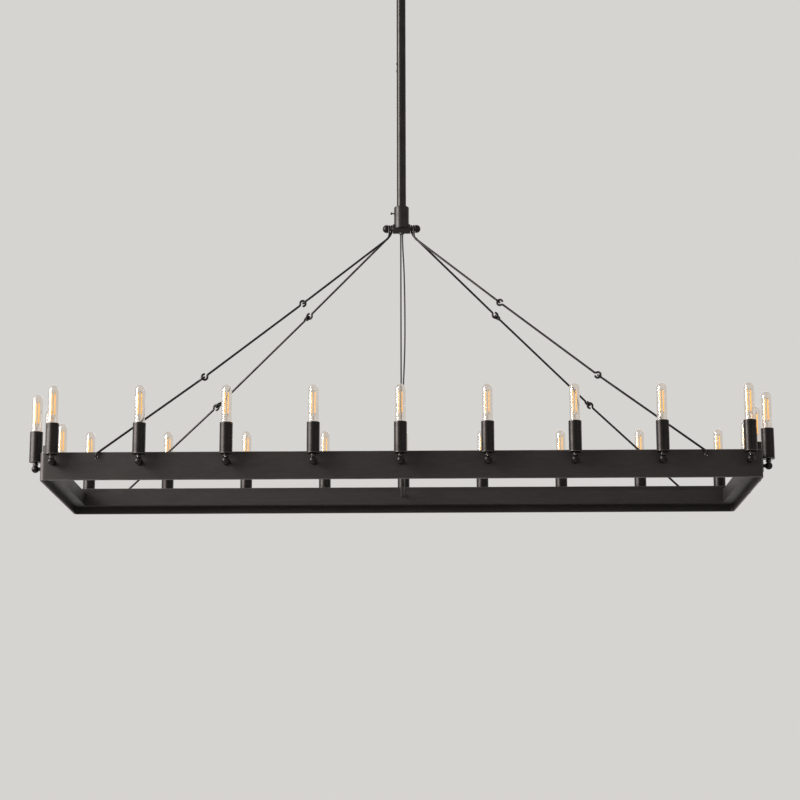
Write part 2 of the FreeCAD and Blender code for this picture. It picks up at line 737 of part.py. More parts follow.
# ---------------------------------------------------------------- frame
def lamp_stations():
    """Places of the lamp arms on the band's outer face, each with its turn about Z in degrees."""
    half_length = frame_length / 2
    half_width = frame_width / 2
    stations = []
    for number in range(long_side_lamps):
        x = (number - (long_side_lamps - 1) / 2) * long_side_pitch
        stations.append((V(x, -half_width, arm_axis_z), 0))
        stations.append((V(-x, half_width, arm_axis_z), 180))
    for number in range(short_side_lamps):
        y = (number - (short_side_lamps - 1) / 2) * short_side_pitch
        stations.append((V(half_length, y, arm_axis_z), 90))
        stations.append((V(-half_length, -y, arm_axis_z), 270))
    return stations


def at_station(shape, station):
    """Copy of a lamp piece, drawn for the front face at the origin, put at one station."""
    place, turn = station
    copy = shape.copy()
    copy.rotate(V(0, 0, 0), UP, turn)
    copy.translate(place)
    return copy


def at_all_stations(shape):
    """Copies of a lamp piece at every station."""
    return [at_station(shape, station) for station in lamp_stations()]


def make_band():
    """Flat bar bent into the rectangle, drilled for the arms and the chain hooks."""
    outer = rounded_slab(frame_length, frame_width, band_corner_radius, band_bottom, band_top)
    inner = rounded_slab(frame_length - 2 * band_thickness, frame_width - 2 * band_thickness,
                         band_corner_radius - band_thickness, band_bottom, band_top)
    band = outer.cut(inner)
    drill = cylinder(arm_diameter / 2 + fit_gap, V(0, -band_thickness, 0), V(0, 2 * band_thickness, 0))
    drills = at_all_stations(drill)
    for end_x in (-1, 1):
        for end_y in (-1, 1):
            place = V(end_x * anchor_spacing / 2, end_y * frame_width / 2, band_top - anchor_drop)
            reach = V(0, 2 * band_thickness, 0)
            drills.append(cylinder(anchor_hole_diameter / 2, place.sub(reach), place.add(reach)))
    return band.cut(drills)


def cord_entries():
    """Where the two cords enter the back channel, on its inner face."""
    y = frame_width / 2 - band_thickness - channel_depth
    z = band_top - cord_entry_drop
    return [V(cord_entry_shift + side * cord_entry_spacing / 2, y, z) for side in (-1, 1)]


def make_channel_ring():
    """Open-backed channel all the way round inside the band."""
    length = frame_length - 2 * band_thickness
    width = frame_width - 2 * band_thickness
    corner = band_corner_radius - band_thickness
    deep = 2 * channel_depth
    outer = rounded_slab(length, width, corner, channel_bottom, channel_top)
    opening = block(V(deep / 2 - length / 2, deep / 2 - width / 2, channel_bottom),
                    V(length / 2 - deep / 2, width / 2 - deep / 2, channel_top))
    shelf = deep - 2 * channel_wall
    hollow = rounded_slab(length, width, corner, channel_bottom + channel_wall, channel_top - channel_wall)
    core = block(V(shelf / 2 - length / 2, shelf / 2 - width / 2, channel_bottom),
                 V(length / 2 - shelf / 2, width / 2 - shelf / 2, channel_top))
    drills = [cylinder(cord_diameter / 2 + channel_wall, entry, entry.add(V(0, channel_wall, 0)))
              for entry in cord_entries()]
    return outer.cut(opening).cut(hollow.cut(core)).cut(drills)


def make_channels():
    """The four mitred lengths of wire channel, as a dictionary of node names."""
    ring = make_channel_ring()
    half_length = frame_length / 2 - band_thickness
    half_width = frame_width / 2 - band_thickness
    ridge = half_length - half_width
    corners = {"front": [(-half_length, -half_width), (half_length, -half_width), (ridge, 0), (-ridge, 0)],
               "right": [(half_length, -half_width), (half_length, half_width), (ridge, 0)],
               "back": [(half_length, half_width), (-half_length, half_width), (-ridge, 0), (ridge, 0)],
               "left": [(-half_length, half_width), (-half_length, -half_width), (-ridge, 0)]}
    lengths = {}
    for name, plan in corners.items():
        points = [V(x, y, channel_bottom) for x, y in plan]
        sector = Part.Face(Part.makePolygon(points + points[:1])).extrude(V(0, 0, channel_height))
        lengths["channel_" + name] = ring.common(sector)
    return lengths


def make_loom():
    """Loom of wires that runs round inside the channel."""
    inset = 2 * (band_thickness + loom_from_band)
    half = V((frame_length - inset) / 2, (frame_width - inset) / 2, 0)
    level = V(0, 0, band_top - loom_drop)
    start = level.add(V(cord_entry_shift, half.y, 0))
    corners = [V(half.x, half.y, 0), V(half.x, -half.y, 0), V(-half.x, -half.y, 0), V(-half.x, half.y, 0)]
    finish = level.add(V(cord_entry_shift - loom_diameter, half.y, 0))
    points = [start] + [level.add(corner) for corner in corners] + [finish]
    return pipe(rounded_path(points, [2 * loom_diameter] * len(corners)), loom_diameter / 2)


# ---------------------------------------------------------------- lamps, drawn for the front face
def lamp_axis_point(height):
    """Point of the lamp's axis at a height above the arm."""
    return V(0, -lamp_standoff, height)


def on_lamp_axis(shape):
    """Move a piece turned about Z to the lamp's axis."""
    shape.translate(lamp_axis_point(0))
    return shape


def make_arm():
    """Hollow threaded arm from the ball through the band to its nut."""
    start = V(0, ball_cavity_diameter / 2 - lamp_standoff, 0)
    end = V(0, band_thickness + arm_nut_thickness + arm_thread_past_nut, 0)
    return tube(arm_diameter / 2, arm_bore / 2, start, end)


def make_arm_washer():
    """Washer between the arm's shoulder and the band."""
    return tube(arm_washer_diameter / 2, arm_diameter / 2 + fit_gap, V(0, -arm_washer_thickness, 0), V(0, 0, 0))


def make_arm_nut():
    """Hexagon nut on the arm inside the channel."""
    start = V(0, band_thickness, 0)
    end = V(0, band_thickness + arm_nut_thickness, 0)
    return hex_prism(arm_nut_flats, start, end).cut(cylinder(arm_diameter / 2 + fit_gap, start, end))


def make_ball():
    """Hollow turned ball, drilled for the arm and the nipple."""
    centre = lamp_axis_point(0)
    ball = Part.makeSphere(ball_diameter / 2, centre)
    cavity = Part.makeSphere(ball_cavity_diameter / 2, centre)
    arm_hole = cylinder(arm_diameter / 2 + fit_gap, centre, centre.add(V(0, ball_diameter, 0)))
    nipple_hole = cylinder(nipple_diameter / 2 + fit_gap, centre, centre.add(V(0, 0, ball_diameter)))
    return ball.cut([cavity, arm_hole, nipple_hole])


def make_nipple():
    """Hollow threaded nipple from the ball into the socket."""
    start = lamp_axis_point(ball_cavity_diameter / 2)
    end = lamp_axis_point(cup_bottom + cup_floor + nipple_above_floor)
    return tube(nipple_diameter / 2, arm_bore / 2, start, end)


def make_bead():
    """Turned bead between the ball and the cup."""
    hole = nipple_diameter / 2 + fit_gap
    radius = bead_diameter / 2
    bottom = ball_diameter / 2 + fit_gap
    top = bottom + bead_thickness
    disc = Part.makeCylinder(radius, bead_thickness, V(0, 0, bottom))
    disc = disc.makeFillet(bead_edge_radius, [edge for edge in disc.Edges if edge.BoundBox.ZLength < fit_gap])
    collar = Part.makeCylinder(seat_collar_diameter / 2, cup_bottom - top, V(0, 0, top))
    bore = Part.makeCylinder(hole, cup_bottom, V(0, 0, 0))
    return on_lamp_axis(disc.fuse(collar).cut(bore))


def make_cup():
    """Plain metal cup round the socket, open at the top."""
    radius = cup_diameter / 2
    outer = Part.makeCylinder(radius, cup_length, V(0, 0, cup_bottom))
    inside = Part.makeCylinder(radius - cup_wall, cup_length, V(0, 0, cup_bottom + cup_floor))
    hole = Part.makeCylinder(nipple_diameter / 2 + fit_gap, cup_length, V(0, 0, cup_bottom))
    cup = outer.cut([inside, hole])
    rims = [edge for edge in cup.Edges
            if edge.BoundBox.ZLength < fit_gap and abs(edge.BoundBox.DiagonalLength ** 2 / 8 - radius ** 2) < radius]
    return on_lamp_axis(cup.makeFillet(cup_lip_radius, rims))


def make_socket():
    """Insulating lamp holder that stands in the cup on the nipple."""
    body = Part.makeCylinder(socket_diameter / 2, socket_top - socket_bottom, V(0, 0, socket_bottom))
    shell_radius = cap_diameter / 2 + running_gap + screw_shell_wall + fit_gap
    cavity = Part.makeCylinder(shell_radius, socket_cavity_depth, V(0, 0, socket_cavity_floor))
    wire_hole = Part.makeCylinder(arm_bore / 2, socket_cavity_floor, V(0, 0, 0))
    nipple_end = cup_bottom + cup_floor + nipple_above_floor
    nipple_hole = Part.makeCylinder(nipple_diameter / 2 + fit_gap, nipple_end, V(0, 0, 0))
    return on_lamp_axis(body.cut([cavity, wire_hole, nipple_hole]))


def make_screw_shell():
    """Thin metal shell that the bulb's cap screws into."""
    inner = cap_diameter / 2 + running_gap
    bottom = socket_cavity_floor + contact_thickness + running_gap
    return tube(inner + screw_shell_wall, inner, lamp_axis_point(bottom), lamp_axis_point(bottom + screw_shell_length))


def make_contact():
    """Centre contact on the floor of the socket."""
    return cylinder(arm_bore / 2 + 2 * fit_gap, lamp_axis_point(socket_cavity_floor),
                    lamp_axis_point(socket_cavity_floor + contact_thickness))


def make_lead():
    """Wire from the socket's contact down through the ball and arm to the loom."""
    start = lamp_axis_point(socket_cavity_floor)
    corner = lamp_axis_point(0)
    reach = band_thickness + loom_from_band - loom_diameter / 2
    points = [start, corner, V(0, reach, 0)]
    return pipe(rounded_path(points, [ball_cavity_diameter / 2]), lead_diameter / 2)


def glass_profile(offset):
    """Half outline of the glass, inset by the offset, from the neck to the tip."""
    neck = bulb_neck_diameter / 2 - offset
    radius = bulb_diameter / 2 - offset
    shoulder = cup_top - bulb_shoulder_below_rim
    dome = bulb_tip - bulb_diameter / 2
    middle = V((neck + radius) / 2, 0, (neck_level + shoulder) / 2)
    turn = math.sin(math.radians(45))
    low_bow = V(neck + (middle.x - neck) * (1 - turn), 0, neck_level + (middle.z - neck_level) * turn)
    high_bow = V(radius - (radius - middle.x) * (1 - turn), 0, shoulder - (shoulder - middle.z) * turn)
    return [arc(V(neck, 0, neck_level), low_bow, middle), arc(middle, high_bow, V(radius, 0, shoulder)),
            line(V(radius, 0, shoulder), V(radius, 0, dome)),
            arc(V(radius, 0, dome), V(radius * turn, 0, dome + radius * turn), V(0, 0, dome + radius))]


def make_glass():
    """Tubular glass with a domed tip and a drawn-in neck."""
    outer = glass_profile(0)
    inner = glass_profile(glass_wall)
    tip = line(outer[-1].Vertexes[-1].Point, inner[-1].Vertexes[-1].Point)
    foot = line(outer[0].Vertexes[0].Point, inner[0].Vertexes[0].Point)
    return on_lamp_axis(turned(outer + [tip] + inner[::-1] + [foot]))


def make_cap():
    """Screw cap of the bulb with its thread ridges and centre tip."""
    crest = cap_diameter / 2
    root = crest - cap_thread_depth
    top = neck_level
    tip_bottom = socket_cavity_floor + contact_thickness + fit_gap
    tip_radius = arm_bore / 2
    thread_bottom = top - cap_length + running_gap
    points = [(0, tip_bottom), (tip_radius, tip_bottom), (crest * 0.6, thread_bottom - contact_thickness)]
    for ridge in range(cap_threads):
        level = thread_bottom + ridge * cap_thread_pitch
        points += [(root, level), (crest, level + cap_thread_pitch / 2)]
    last = thread_bottom + cap_threads * cap_thread_pitch
    points += [(root, last), (root, top), (0, top)]
    return on_lamp_axis(turned(polygon_edges(points)))


def make_glass_mount():
    """Glass stalk inside the bulb that carries the filaments."""
    foot = neck_level + fit_gap
    stalk = mount_stalk_diameter / 2
    flare_top = foot + mount_height / 4
    top = foot + mount_height
    points = [(0, foot), (mount_flare_diameter / 2 - fit_gap, foot), (stalk, flare_top), (stalk, top), (0, top)]
    return on_lamp_axis(turned(polygon_edges(points)))


def filament_places():
    """Offsets of the filaments from the bulb's axis."""
    places = []
    for number in range(filament_count):
        angle = math.radians(45 + number * 360 / filament_count)
        places.append(V(math.cos(angle), math.sin(angle), 0) * (filament_circle_diameter / 2))
    return places


def filament_levels():
    """Lower and upper ends of the filaments above the arm axis."""
    bottom = neck_level + filament_base_height
    return bottom, bottom + filament_length


def make_filaments():
    """The upright filament bars of one bulb."""
    bottom, top = filament_levels()
    return [cylinder(filament_diameter / 2, lamp_axis_point(bottom).add(place), lamp_axis_point(top).add(place))
            for place in filament_places()]


def make_filament_supports():
    """Wires from the stalk to the bars' feet, and the post and spider that hold their tops."""
    bottom, top = filament_levels()
    radius = support_wire_diameter / 2
    stalk_top = neck_level + fit_gap + mount_height
    crown = top + filament_diameter
    wires = cylinder(radius, lamp_axis_point(stalk_top), lamp_axis_point(crown))
    arms = []
    for place in filament_places():
        arms.append(cylinder(radius, lamp_axis_point(stalk_top + radius), lamp_axis_point(bottom).add(place)))
        arms.append(cylinder(radius, lamp_axis_point(crown - radius), lamp_axis_point(top).add(place)))
        arms.append(Part.makeSphere(radius, lamp_axis_point(top).add(place)))
    bars = make_filaments()
    return wires.fuse(arms).cut(bars)


# ---------------------------------------------------------------- cords from the hub to the frame
def cord_radii(points):
    """Largest arcs that the runs allow at each inner point of a route."""
    radii = []
    for before, corner, after in zip(points, points[1:], points[2:]):
        come = corner.sub(before)
        go = after.sub(corner)
        radii.append(0.45 * min(come.Length, go.Length) / math.tan(come.getAngle(go) / 2))
    return radii


def cord_frame_end(entry):
    """Last three points of a cord: it curves level into its hole and ends at the loom."""
    half_bend = math.radians(36)
    end = entry.add(V(0, channel_depth - loom_from_band - loom_diameter / 2 - fit_gap, 0))
    corner = entry.add(V(0, -cord_last_run, 0))
    before = corner.add(V(0, -cord_last_run * math.cos(half_bend), cord_last_run * math.sin(half_bend)))
    return [before, corner, end]


def make_cord(points, name):
    """Round cord along its route."""
    radii = cord_radii(points)
    print(name, "bend radii", [round(radius, 1) for radius in radii])
    edges = rounded_path(points, radii)
    print(name, "length", round(Part.Wire(edges).Length, 1))
    return pipe(edges, cord_diameter / 2)


def make_taut_cord():
    """Feed cord that runs straight from the hub to the back channel."""
    top = V(-cord_spacing / 2, 0, bushing_bottom_z())
    points = [top, top.sub(V(0, 0, cord_first_run))] + cord_frame_end(cord_entries()[0])
    return make_cord(points, "feed_cord")


def make_slack_cord():
    """Second cord, a little longer, that bows out sideways on its way down."""
    top = V(cord_spacing / 2, 0, bushing_bottom_z())
    start = top.sub(V(0, 0, cord_first_run))
    finish = cord_frame_end(cord_entries()[1])
    fall = finish[0].sub(start)
    bow = [(0.10, 0.71), (0.20, 0.94), (0.30, 0.98), (0.40, 0.85), (0.50, 0.31), (0.60, -0.46),
           (0.70, -0.55), (0.80, -0.42), (0.90, -0.18)]
    points = [top, start]
    for share, stand_out in bow:
        points.append(start.add(fall * share).add(V(slack_bow * stand_out, 0, 0)))
    return make_cord(points + finish, "earth_cord")


def make_grommet(entry):
    """Rubber ring in a cord hole, with its flange on the channel's inner face."""
    bore = cord_diameter / 2 + grommet_bore_gap
    flange_start = entry.sub(V(0, grommet_flange_thickness, 0))
    flange = tube(grommet_flange_diameter / 2, bore, flange_start, entry)
    barrel_radius = cord_diameter / 2 + channel_wall - fit_gap
    barrel = tube(barrel_radius, bore, flange_start, entry.add(V(0, channel_wall, 0)))
    return flange.fuse(barrel)


# ---------------------------------------------------------------- the whole pendant
def main():
    """Make every node and write it."""
    os.makedirs("parts", exist_ok=True)
    studs = canopy_stud_places()
    save("canopy", make_canopy())
    save("ceiling_crossbar", make_crossbar())
    save("canopy_studs", [make_canopy_stud(place) for place in studs])
    save("canopy_cap_nuts", [make_cap_nut(place) for place in studs])
    save("hanger", make_hanger())
    save("hanger_lock_nut", make_lock_nut())
    save("ground_screw", make_ground_screw())
    save("swivel_head", make_swivel_head())
    save("swivel_pin", make_swivel_pin())
    save("swivel_pin_clip", make_swivel_clip())
    save("swivel_tongue", make_swivel_tongue())
    save("upper_pipe", make_pipe(pipe_joint_z, upper_pipe_top))
    save("lower_pipe", make_pipe(lower_pipe_bottom, pipe_joint_z))
    save("pipe_sleeve", make_sleeve())
    save("pipe_joint_screws", [make_joint_screw(level) for level in joint_screw_places()])
    save("hub_tee", make_hub_tee())
    save("hub_pins", [make_hub_pin(side) for side in (-1, 1)])
    save("hub_ball_nuts", [make_ball_nut(side) for side in (-1, 1)])
    save("hub_set_screw", make_set_screw())
    save("hub_cord_bushing", make_cord_bushing())
    save("stem_cords", [make_stem_cord(side) for side in (-1, 1)])
    for depth, end_y in (("front", -1), ("back", 1)):
        for side, end_x in (("left", -1), ("right", 1)):
            corner = depth + "_" + side
            save("upper_link_" + corner, make_upper_link(end_x, end_y))
            save("middle_link_" + corner, make_middle_link(end_x, end_y))
            save("lower_link_" + corner, make_lower_link(end_x, end_y))
    save("frame_band", make_band())
    for name, channel in make_channels().items():
        save(name, channel)
    save("channel_loom", make_loom())
    save("cord_grommets", [make_grommet(entry) for entry in cord_entries()])
    save("feed_cord", make_taut_cord())
    save("earth_cord", make_slack_cord())
    lamp_pieces = {"lamp_arms": make_arm, "arm_washers": make_arm_washer, "arm_nuts": make_arm_nut,
                   "arm_balls": make_ball, "cup_nipples": make_nipple, "cup_beads": make_bead,
                   "socket_cups": make_cup, "lamp_sockets": make_socket, "screw_shells": make_screw_shell,
                   "socket_contacts": make_contact, "lamp_leads": make_lead, "bulb_glass": make_glass,
                   "bulb_caps": make_cap, "bulb_mounts": make_glass_mount,
                   "filament_supports": make_filament_supports}
    for name, make in lamp_pieces.items():
        save(name, at_all_stations(make()))
    filaments = []
    for bar in make_filaments():
        filaments += at_all_stations(bar)
    save("bulb_filaments", filaments)


main()
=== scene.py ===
"""Looks of a linear island pendant: a flat-bar frame of candle lamps on hooked rods and a pipe stem.

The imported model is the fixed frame. Shapes are worked out in millimetres in its axes (+Z up, +X along
the pendant, the origin at the ceiling) and become metres when their mesh is made.
"""
import logging
import math
from dataclasses import dataclass, replace
from enum import Enum
from typing import Any, Optional, Sequence

import bpy
import numpy as np
from mathutils import Matrix, Vector


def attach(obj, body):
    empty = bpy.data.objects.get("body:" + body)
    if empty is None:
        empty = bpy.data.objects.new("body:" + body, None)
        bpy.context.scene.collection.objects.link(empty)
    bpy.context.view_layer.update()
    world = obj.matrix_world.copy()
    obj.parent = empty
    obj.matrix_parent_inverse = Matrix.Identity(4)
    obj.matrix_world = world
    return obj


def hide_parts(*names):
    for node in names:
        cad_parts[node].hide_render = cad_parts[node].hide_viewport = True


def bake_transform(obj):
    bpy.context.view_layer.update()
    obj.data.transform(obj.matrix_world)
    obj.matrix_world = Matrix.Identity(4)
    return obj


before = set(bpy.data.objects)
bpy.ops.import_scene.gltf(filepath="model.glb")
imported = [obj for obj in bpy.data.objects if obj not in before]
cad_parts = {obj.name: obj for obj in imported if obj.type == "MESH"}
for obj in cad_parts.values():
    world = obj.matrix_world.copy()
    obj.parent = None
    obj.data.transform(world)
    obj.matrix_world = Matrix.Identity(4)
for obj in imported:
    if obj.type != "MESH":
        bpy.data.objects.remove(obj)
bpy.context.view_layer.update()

MM = 0.001                       # metres in a millimetre
TINY = 1e-9                      # a radius below this is a pole
PIECE_CREASE = 40.0              # degrees between faces above which an edge stays crisp
BAND_CREASE = 50.0               # the same for the drilled band
ROUND_SIDES = 40                 # points round a cup or a cap nut
BEAD_SIDES = 32                  # points round a ball or a bead
GLASS_SIDES = 36                 # points round a bulb
HOLE_SIDES = 20                  # points round a drilled hole
CORD_SIDES = 12                  # points round a braided cord
BAR_SIDES = 8                    # points round a filament bar or its clamp
WIRE_SIDES = 6                   # points round a filament wire
Array = np.ndarray
log = logging.getLogger("pendant")


class Body(Enum):
    """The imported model's rigid bodies that a new piece moves with."""
    CEILING = "ceiling_mount"
    STEM = "stem"
    FRAME = "frame"


class Slot(Enum):
    """The record's material slots."""
    IRON = "blackened_iron"
    STEEL = "blackened_steel"
    ZINC = "zinc_plated_steel"
    EARTH = "earth_screw_green"
    NYLON = "black_nylon"
    CORD = "black_cord"
    WIRE = "wire_insulation"
    PHENOLIC = "phenolic"
    NICKEL = "nickel_plated_brass"
    GLASS = "clear_glass"
    PHOSPHOR = "filament_phosphor"


class Grain(Enum):
    """Which way a surface was worked: how much finer its marks are along X, Y and Z."""
    LEVEL = (0.06, 0.06, 1.0)
    UPRIGHT = (1.0, 1.0, 0.05)
    EVEN = (1.0, 1.0, 1.0)


# ---------------------------------------------------------------- shapes as arrays
def grid_quads(rows: int, columns: int, wrap_rows: bool) -> Array:
    """Quads of a grid whose columns close on themselves.

    Args:
        rows: number of rings.
        columns: points in each ring.
        wrap_rows: True if the last ring joins the first.

    Returns:
        Corner numbers, four a row.
    """
    row = np.arange(rows if wrap_rows else rows - 1)[:, None]
    column = np.arange(columns)[None]
    after, beside = (row + 1) % rows, (column + 1) % columns
    corners = (row * columns + column, row * columns + beside,
               after * columns + beside, after * columns + column)
    return np.stack(np.broadcast_arrays(*corners), axis=-1).reshape(-1, 4)


@dataclass(frozen=True)
class Skin:
    """A closed surface in millimetres.

    points are its corners, faces its corner numbers (one array for each number of corners), wear how
    rubbed each point is, from 0 to 1, and chart a length and a turn for each face corner of a cord.
    """
    points: Array
    faces: tuple[Array, ...]
    wear: Array
    chart: Optional[Array] = None

    def volume(self) -> float:
        """Enclosed volume: a sixth of the sum of each triangle's corner products."""
        total = 0.0
        for face in self.faces:
            corner = self.points[face]
            spokes = corner[:, 1:] - corner[:, :1]
            total += np.einsum("fki,fki->", np.cross(spokes[:, :-1], spokes[:, 1:]),
                               np.broadcast_to(corner[:, :1], spokes[:, 1:].shape)) / 6
        return total

    def outward(self) -> "Skin":
        """The same skin with its faces turned outwards."""
        if self.volume() > 0:
            return self
        return replace(self, faces=tuple(face[:, ::-1] for face in self.faces),
                       chart=None if self.chart is None else self.flipped_chart())

    def flipped_chart(self) -> Array:
        """The chart in the order of the turned faces."""
        parts, start = [], 0
        for face in self.faces:
            part = self.chart[start:start + face.size].reshape(*face.shape, 2)
            parts.append(part[:, ::-1].reshape(-1, 2))
            start += face.size
        return np.concatenate(parts)

    def placed(self, turns: Array, shifts: Array) -> "Skin":
        """Copies of the skin, each turned and then shifted.

        Args:
            turns: rotation matrices, one for each copy.
            shifts: places, one for each copy.

        Returns:
            All the copies as one skin.
        """
        points = np.einsum("nij,kj->nki", turns, self.points) + shifts[:, None]
        jumps = (np.arange(len(shifts)) * len(self.points))[:, None, None]
        faces = tuple((face[None] + jumps).reshape(-1, face.shape[1]) for face in self.faces)
        return Skin(points.reshape(-1, 3), faces, np.tile(self.wear, len(shifts)))

    def shifted(self, shifts: Array) -> "Skin":
        """Copies of the skin, shifted and not turned."""
        return self.placed(np.repeat(np.eye(3)[None], len(shifts), axis=0), shifts)

    def mesh(self, name: str) -> bpy.types.Mesh:
        """The skin as a mesh in metres, with its wear and chart as attributes."""
        mesh = bpy.data.meshes.new(name)
        corners = np.concatenate([face.ravel() for face in self.faces])
        widths = np.concatenate([np.full(len(face), face.shape[1]) for face in self.faces])
        mesh.vertices.add(len(self.points))
        mesh.vertices.foreach_set("co", (self.points * MM).astype(np.float32).ravel())
        mesh.loops.add(len(corners))
        mesh.loops.foreach_set("vertex_index", corners.astype(np.int32))
        mesh.polygons.add(len(widths))
        mesh.polygons.foreach_set("loop_start", (np.cumsum(widths) - widths).astype(np.int32))
        mesh.update(calc_edges=True)
        wear = mesh.attributes.new("wear", "FLOAT", "POINT")
        wear.data.foreach_set("value", self.wear.astype(np.float32))
        if self.chart is not None:
            mesh.uv_layers.new(name="chart").uv.foreach_set("vector", self.chart.astype(np.float32).ravel())
        return mesh


def joined(skins: Sequence[Skin]) -> Skin:
    """Several skins as one.

    Args:
        skins: the skins.

    Returns:
        One skin with all their points and faces.
    """
    starts = np.cumsum([0] + [len(skin.points) for skin in skins[:-1]])
    faces = tuple(face + start for skin, start in zip(skins, starts) for face in skin.faces)
    return Skin(np.concatenate([skin.points for skin in skins]), faces,
                np.concatenate([skin.wear for skin in skins]))


def run(*points: tuple[float, float], wear: float = 0.0) -> Array:
    """Straight stretch of a profile: rows of radius, height and wear."""
    return np.column_stack([np.array(points, float), np.full(len(points), wear)])


def bend(radius: float, height: float, size: float, start: float, end: float, steps: int = 5,
         wear: float = 0.0) -> Array:
    """Round stretch of a profile: centre plus size times (cosine, sine) of an angle.

    Args:
        radius: the centre's distance from the axis.
        height: the centre's height.
        size: radius of the round.
        start: first angle, in degrees.
        end: last angle, in degrees.
        steps: number of points.
        wear: how rubbed the round is.

    Returns:
        Rows of radius, height and wear.
    """
    angle = np.radians(np.linspace(start, end, steps))
    return np.column_stack([radius + size * np.cos(angle), height + size * np.sin(angle),
                            np.full(steps, wear)])


def turned(profile: Array, sides: int, looped: bool = False) -> Skin:
    """Turn a profile about Z: point(u, v) = (r(u) cos v, r(u) sin v, z(u)).

    Args:
        profile: rows of radius, height and wear. A radius of 0 at an end closes it in a pole.
        sides: points round the axis.
        looped: True if the profile closes on itself, as for a ring.

    Returns:
        The closed skin.
    """
    low = not looped and profile[0, 0] < TINY
    high = not looped and profile[-1, 0] < TINY
    rings = profile[int(low):len(profile) - int(high)]
    angle = np.arange(sides) * (2 * math.pi / sides)
    spoke = np.column_stack([np.cos(angle), np.sin(angle)])
    levels = np.repeat(rings[:, None, 1:2], sides, axis=1)
    points = np.concatenate([rings[:, None, :1] * spoke, levels], axis=2)
    points, wear = [points.reshape(-1, 3)], [np.repeat(rings[:, 2], sides)]
    faces = [grid_quads(len(rings), sides, looped)]
    here, beside = np.arange(sides), (np.arange(sides) + 1) % sides
    count = len(rings) * sides
    for row, wanted, first, second in ((profile[0], low, beside, here),
                                       (profile[-1], high, here + count - sides, beside + count - sides)):
        if wanted:
            pole = sum(len(part) for part in points)
            points.append(np.array([[0.0, 0.0, row[1]]]))
            wear.append(row[2:])
            faces.append(np.column_stack([first, second, np.full(sides, pole)]))
    return Skin(np.concatenate(points), tuple(faces), np.concatenate(wear)).outward()


def carried(path: Array, radius: float, sides: int, reference: Sequence[float],
            charted: bool = False) -> Skin:
    """Carry a circle along a path: point(u, v) = path(u) + radius (cos v across(u) + sin v over(u)).

    across is the reference made square to the path, and over is square to both.

    Args:
        path: points of the centre line.
        radius: radius of the round bar.
        sides: points round it.
        reference: a direction that the path never runs along.
        charted: True to give each face corner its length along the path and its share of a turn.

    Returns:
        The closed skin, with flat ends.
    """
    along = np.gradient(path, axis=0)
    along /= np.linalg.norm(along, axis=1, keepdims=True)
    across = np.array(reference, float) - (along @ np.array(reference, float))[:, None] * along
    across /= np.linalg.norm(across, axis=1, keepdims=True)
    over = np.cross(along, across)
    angle = np.arange(sides) * (2 * math.pi / sides)
    ring = np.cos(angle)[None, :, None] * across[:, None] + np.sin(angle)[None, :, None] * over[:, None]
    points = (path[:, None] + radius * ring).reshape(-1, 3)
    end = np.arange(sides)[None]
    faces = (grid_quads(len(path), sides, False), end[:, ::-1], end + (len(path) - 1) * sides)
    chart = None
    if charted:
        length = np.concatenate([[0.0], np.cumsum(np.linalg.norm(np.diff(path, axis=0), axis=1))])
        row = np.repeat(np.arange(len(path) - 1), sides)
        column = np.tile(np.arange(sides), len(path) - 1)
        u = length[np.stack([row, row, row + 1, row + 1], axis=-1)]
        v = np.stack([column, column + 1, column + 1, column], axis=-1) / sides
        chart = np.concatenate([np.stack([u, v], axis=-1).reshape(-1, 2), np.zeros((2 * sides, 2))])
    return Skin(points, faces, np.zeros(len(points)), chart).outward()


def strut(start: Sequence[float], end: Sequence[float], radius: float, sides: int) -> Skin:
    """Straight round bar between two points."""
    path = np.array([start, end], float)
    slope = np.abs(path[1] - path[0])
    return carried(path, radius, sides, np.eye(3)[int(np.argmin(slope))])


# ---------------------------------------------------------------- finishes
def linear(code: str) -> tuple[float, float, float, float]:
    """Linear colour of an sRGB hex value such as #3a3635."""
    value = np.array([int(code[i:i + 2], 16) for i in (1, 3, 5)]) / 255
    value = np.where(value <= 0.04045, value / 12.92, ((value + 0.055) / 1.055) ** 2.4)
    return (*(float(part) for part in value), 1.0)


def add_node(tree: bpy.types.NodeTree, kind: str, inputs: Optional[dict[Any, Any]] = None,
             **settings: Any) -> bpy.types.Node:
    """Add one shader node with its settings, values and links.

    Args:
        tree: the material's node tree.
        kind: the node's type, without its ShaderNode prefix.
        inputs: a value or another node's output for each input, by name or number.
        settings: the node's own properties.

    Returns:
        The node.
    """
    node = tree.nodes.new("ShaderNode" + kind)
    for name, value in settings.items():
        setattr(node, name, value)
    for name, value in (inputs or {}).items():
        if isinstance(value, bpy.types.NodeSocket):
            tree.links.new(value, node.inputs[name])
        else:
            node.inputs[name].default_value = value
    return node


def blotches(tree: bpy.types.NodeTree, size_mm: float, detail: float = 3.0, roughness: float = 0.55,
             stretch: Sequence[float] = (1.0, 1.0, 1.0)) -> bpy.types.NodeSocket:
    """A cloudy pattern on the object.

    Args:
        tree: the material's node tree.
        size_mm: how wide a blotch is, about.
        detail: how many finer layers it has.
        roughness: how strong these are.
        stretch: how much each axis is scaled; below 1, the blotches are longer that way.

    Returns:
        The pattern, from 0 to 1.
    """
    where = add_node(tree, "TexCoord").outputs["Object"]
    spread = add_node(tree, "Mapping", {"Vector": where, "Scale": stretch}).outputs["Vector"]
    return add_node(tree, "TexNoise", {"Vector": spread, "Scale": 1 / (size_mm * MM), "Detail": detail,
                                       "Roughness": roughness}).outputs["Fac"]


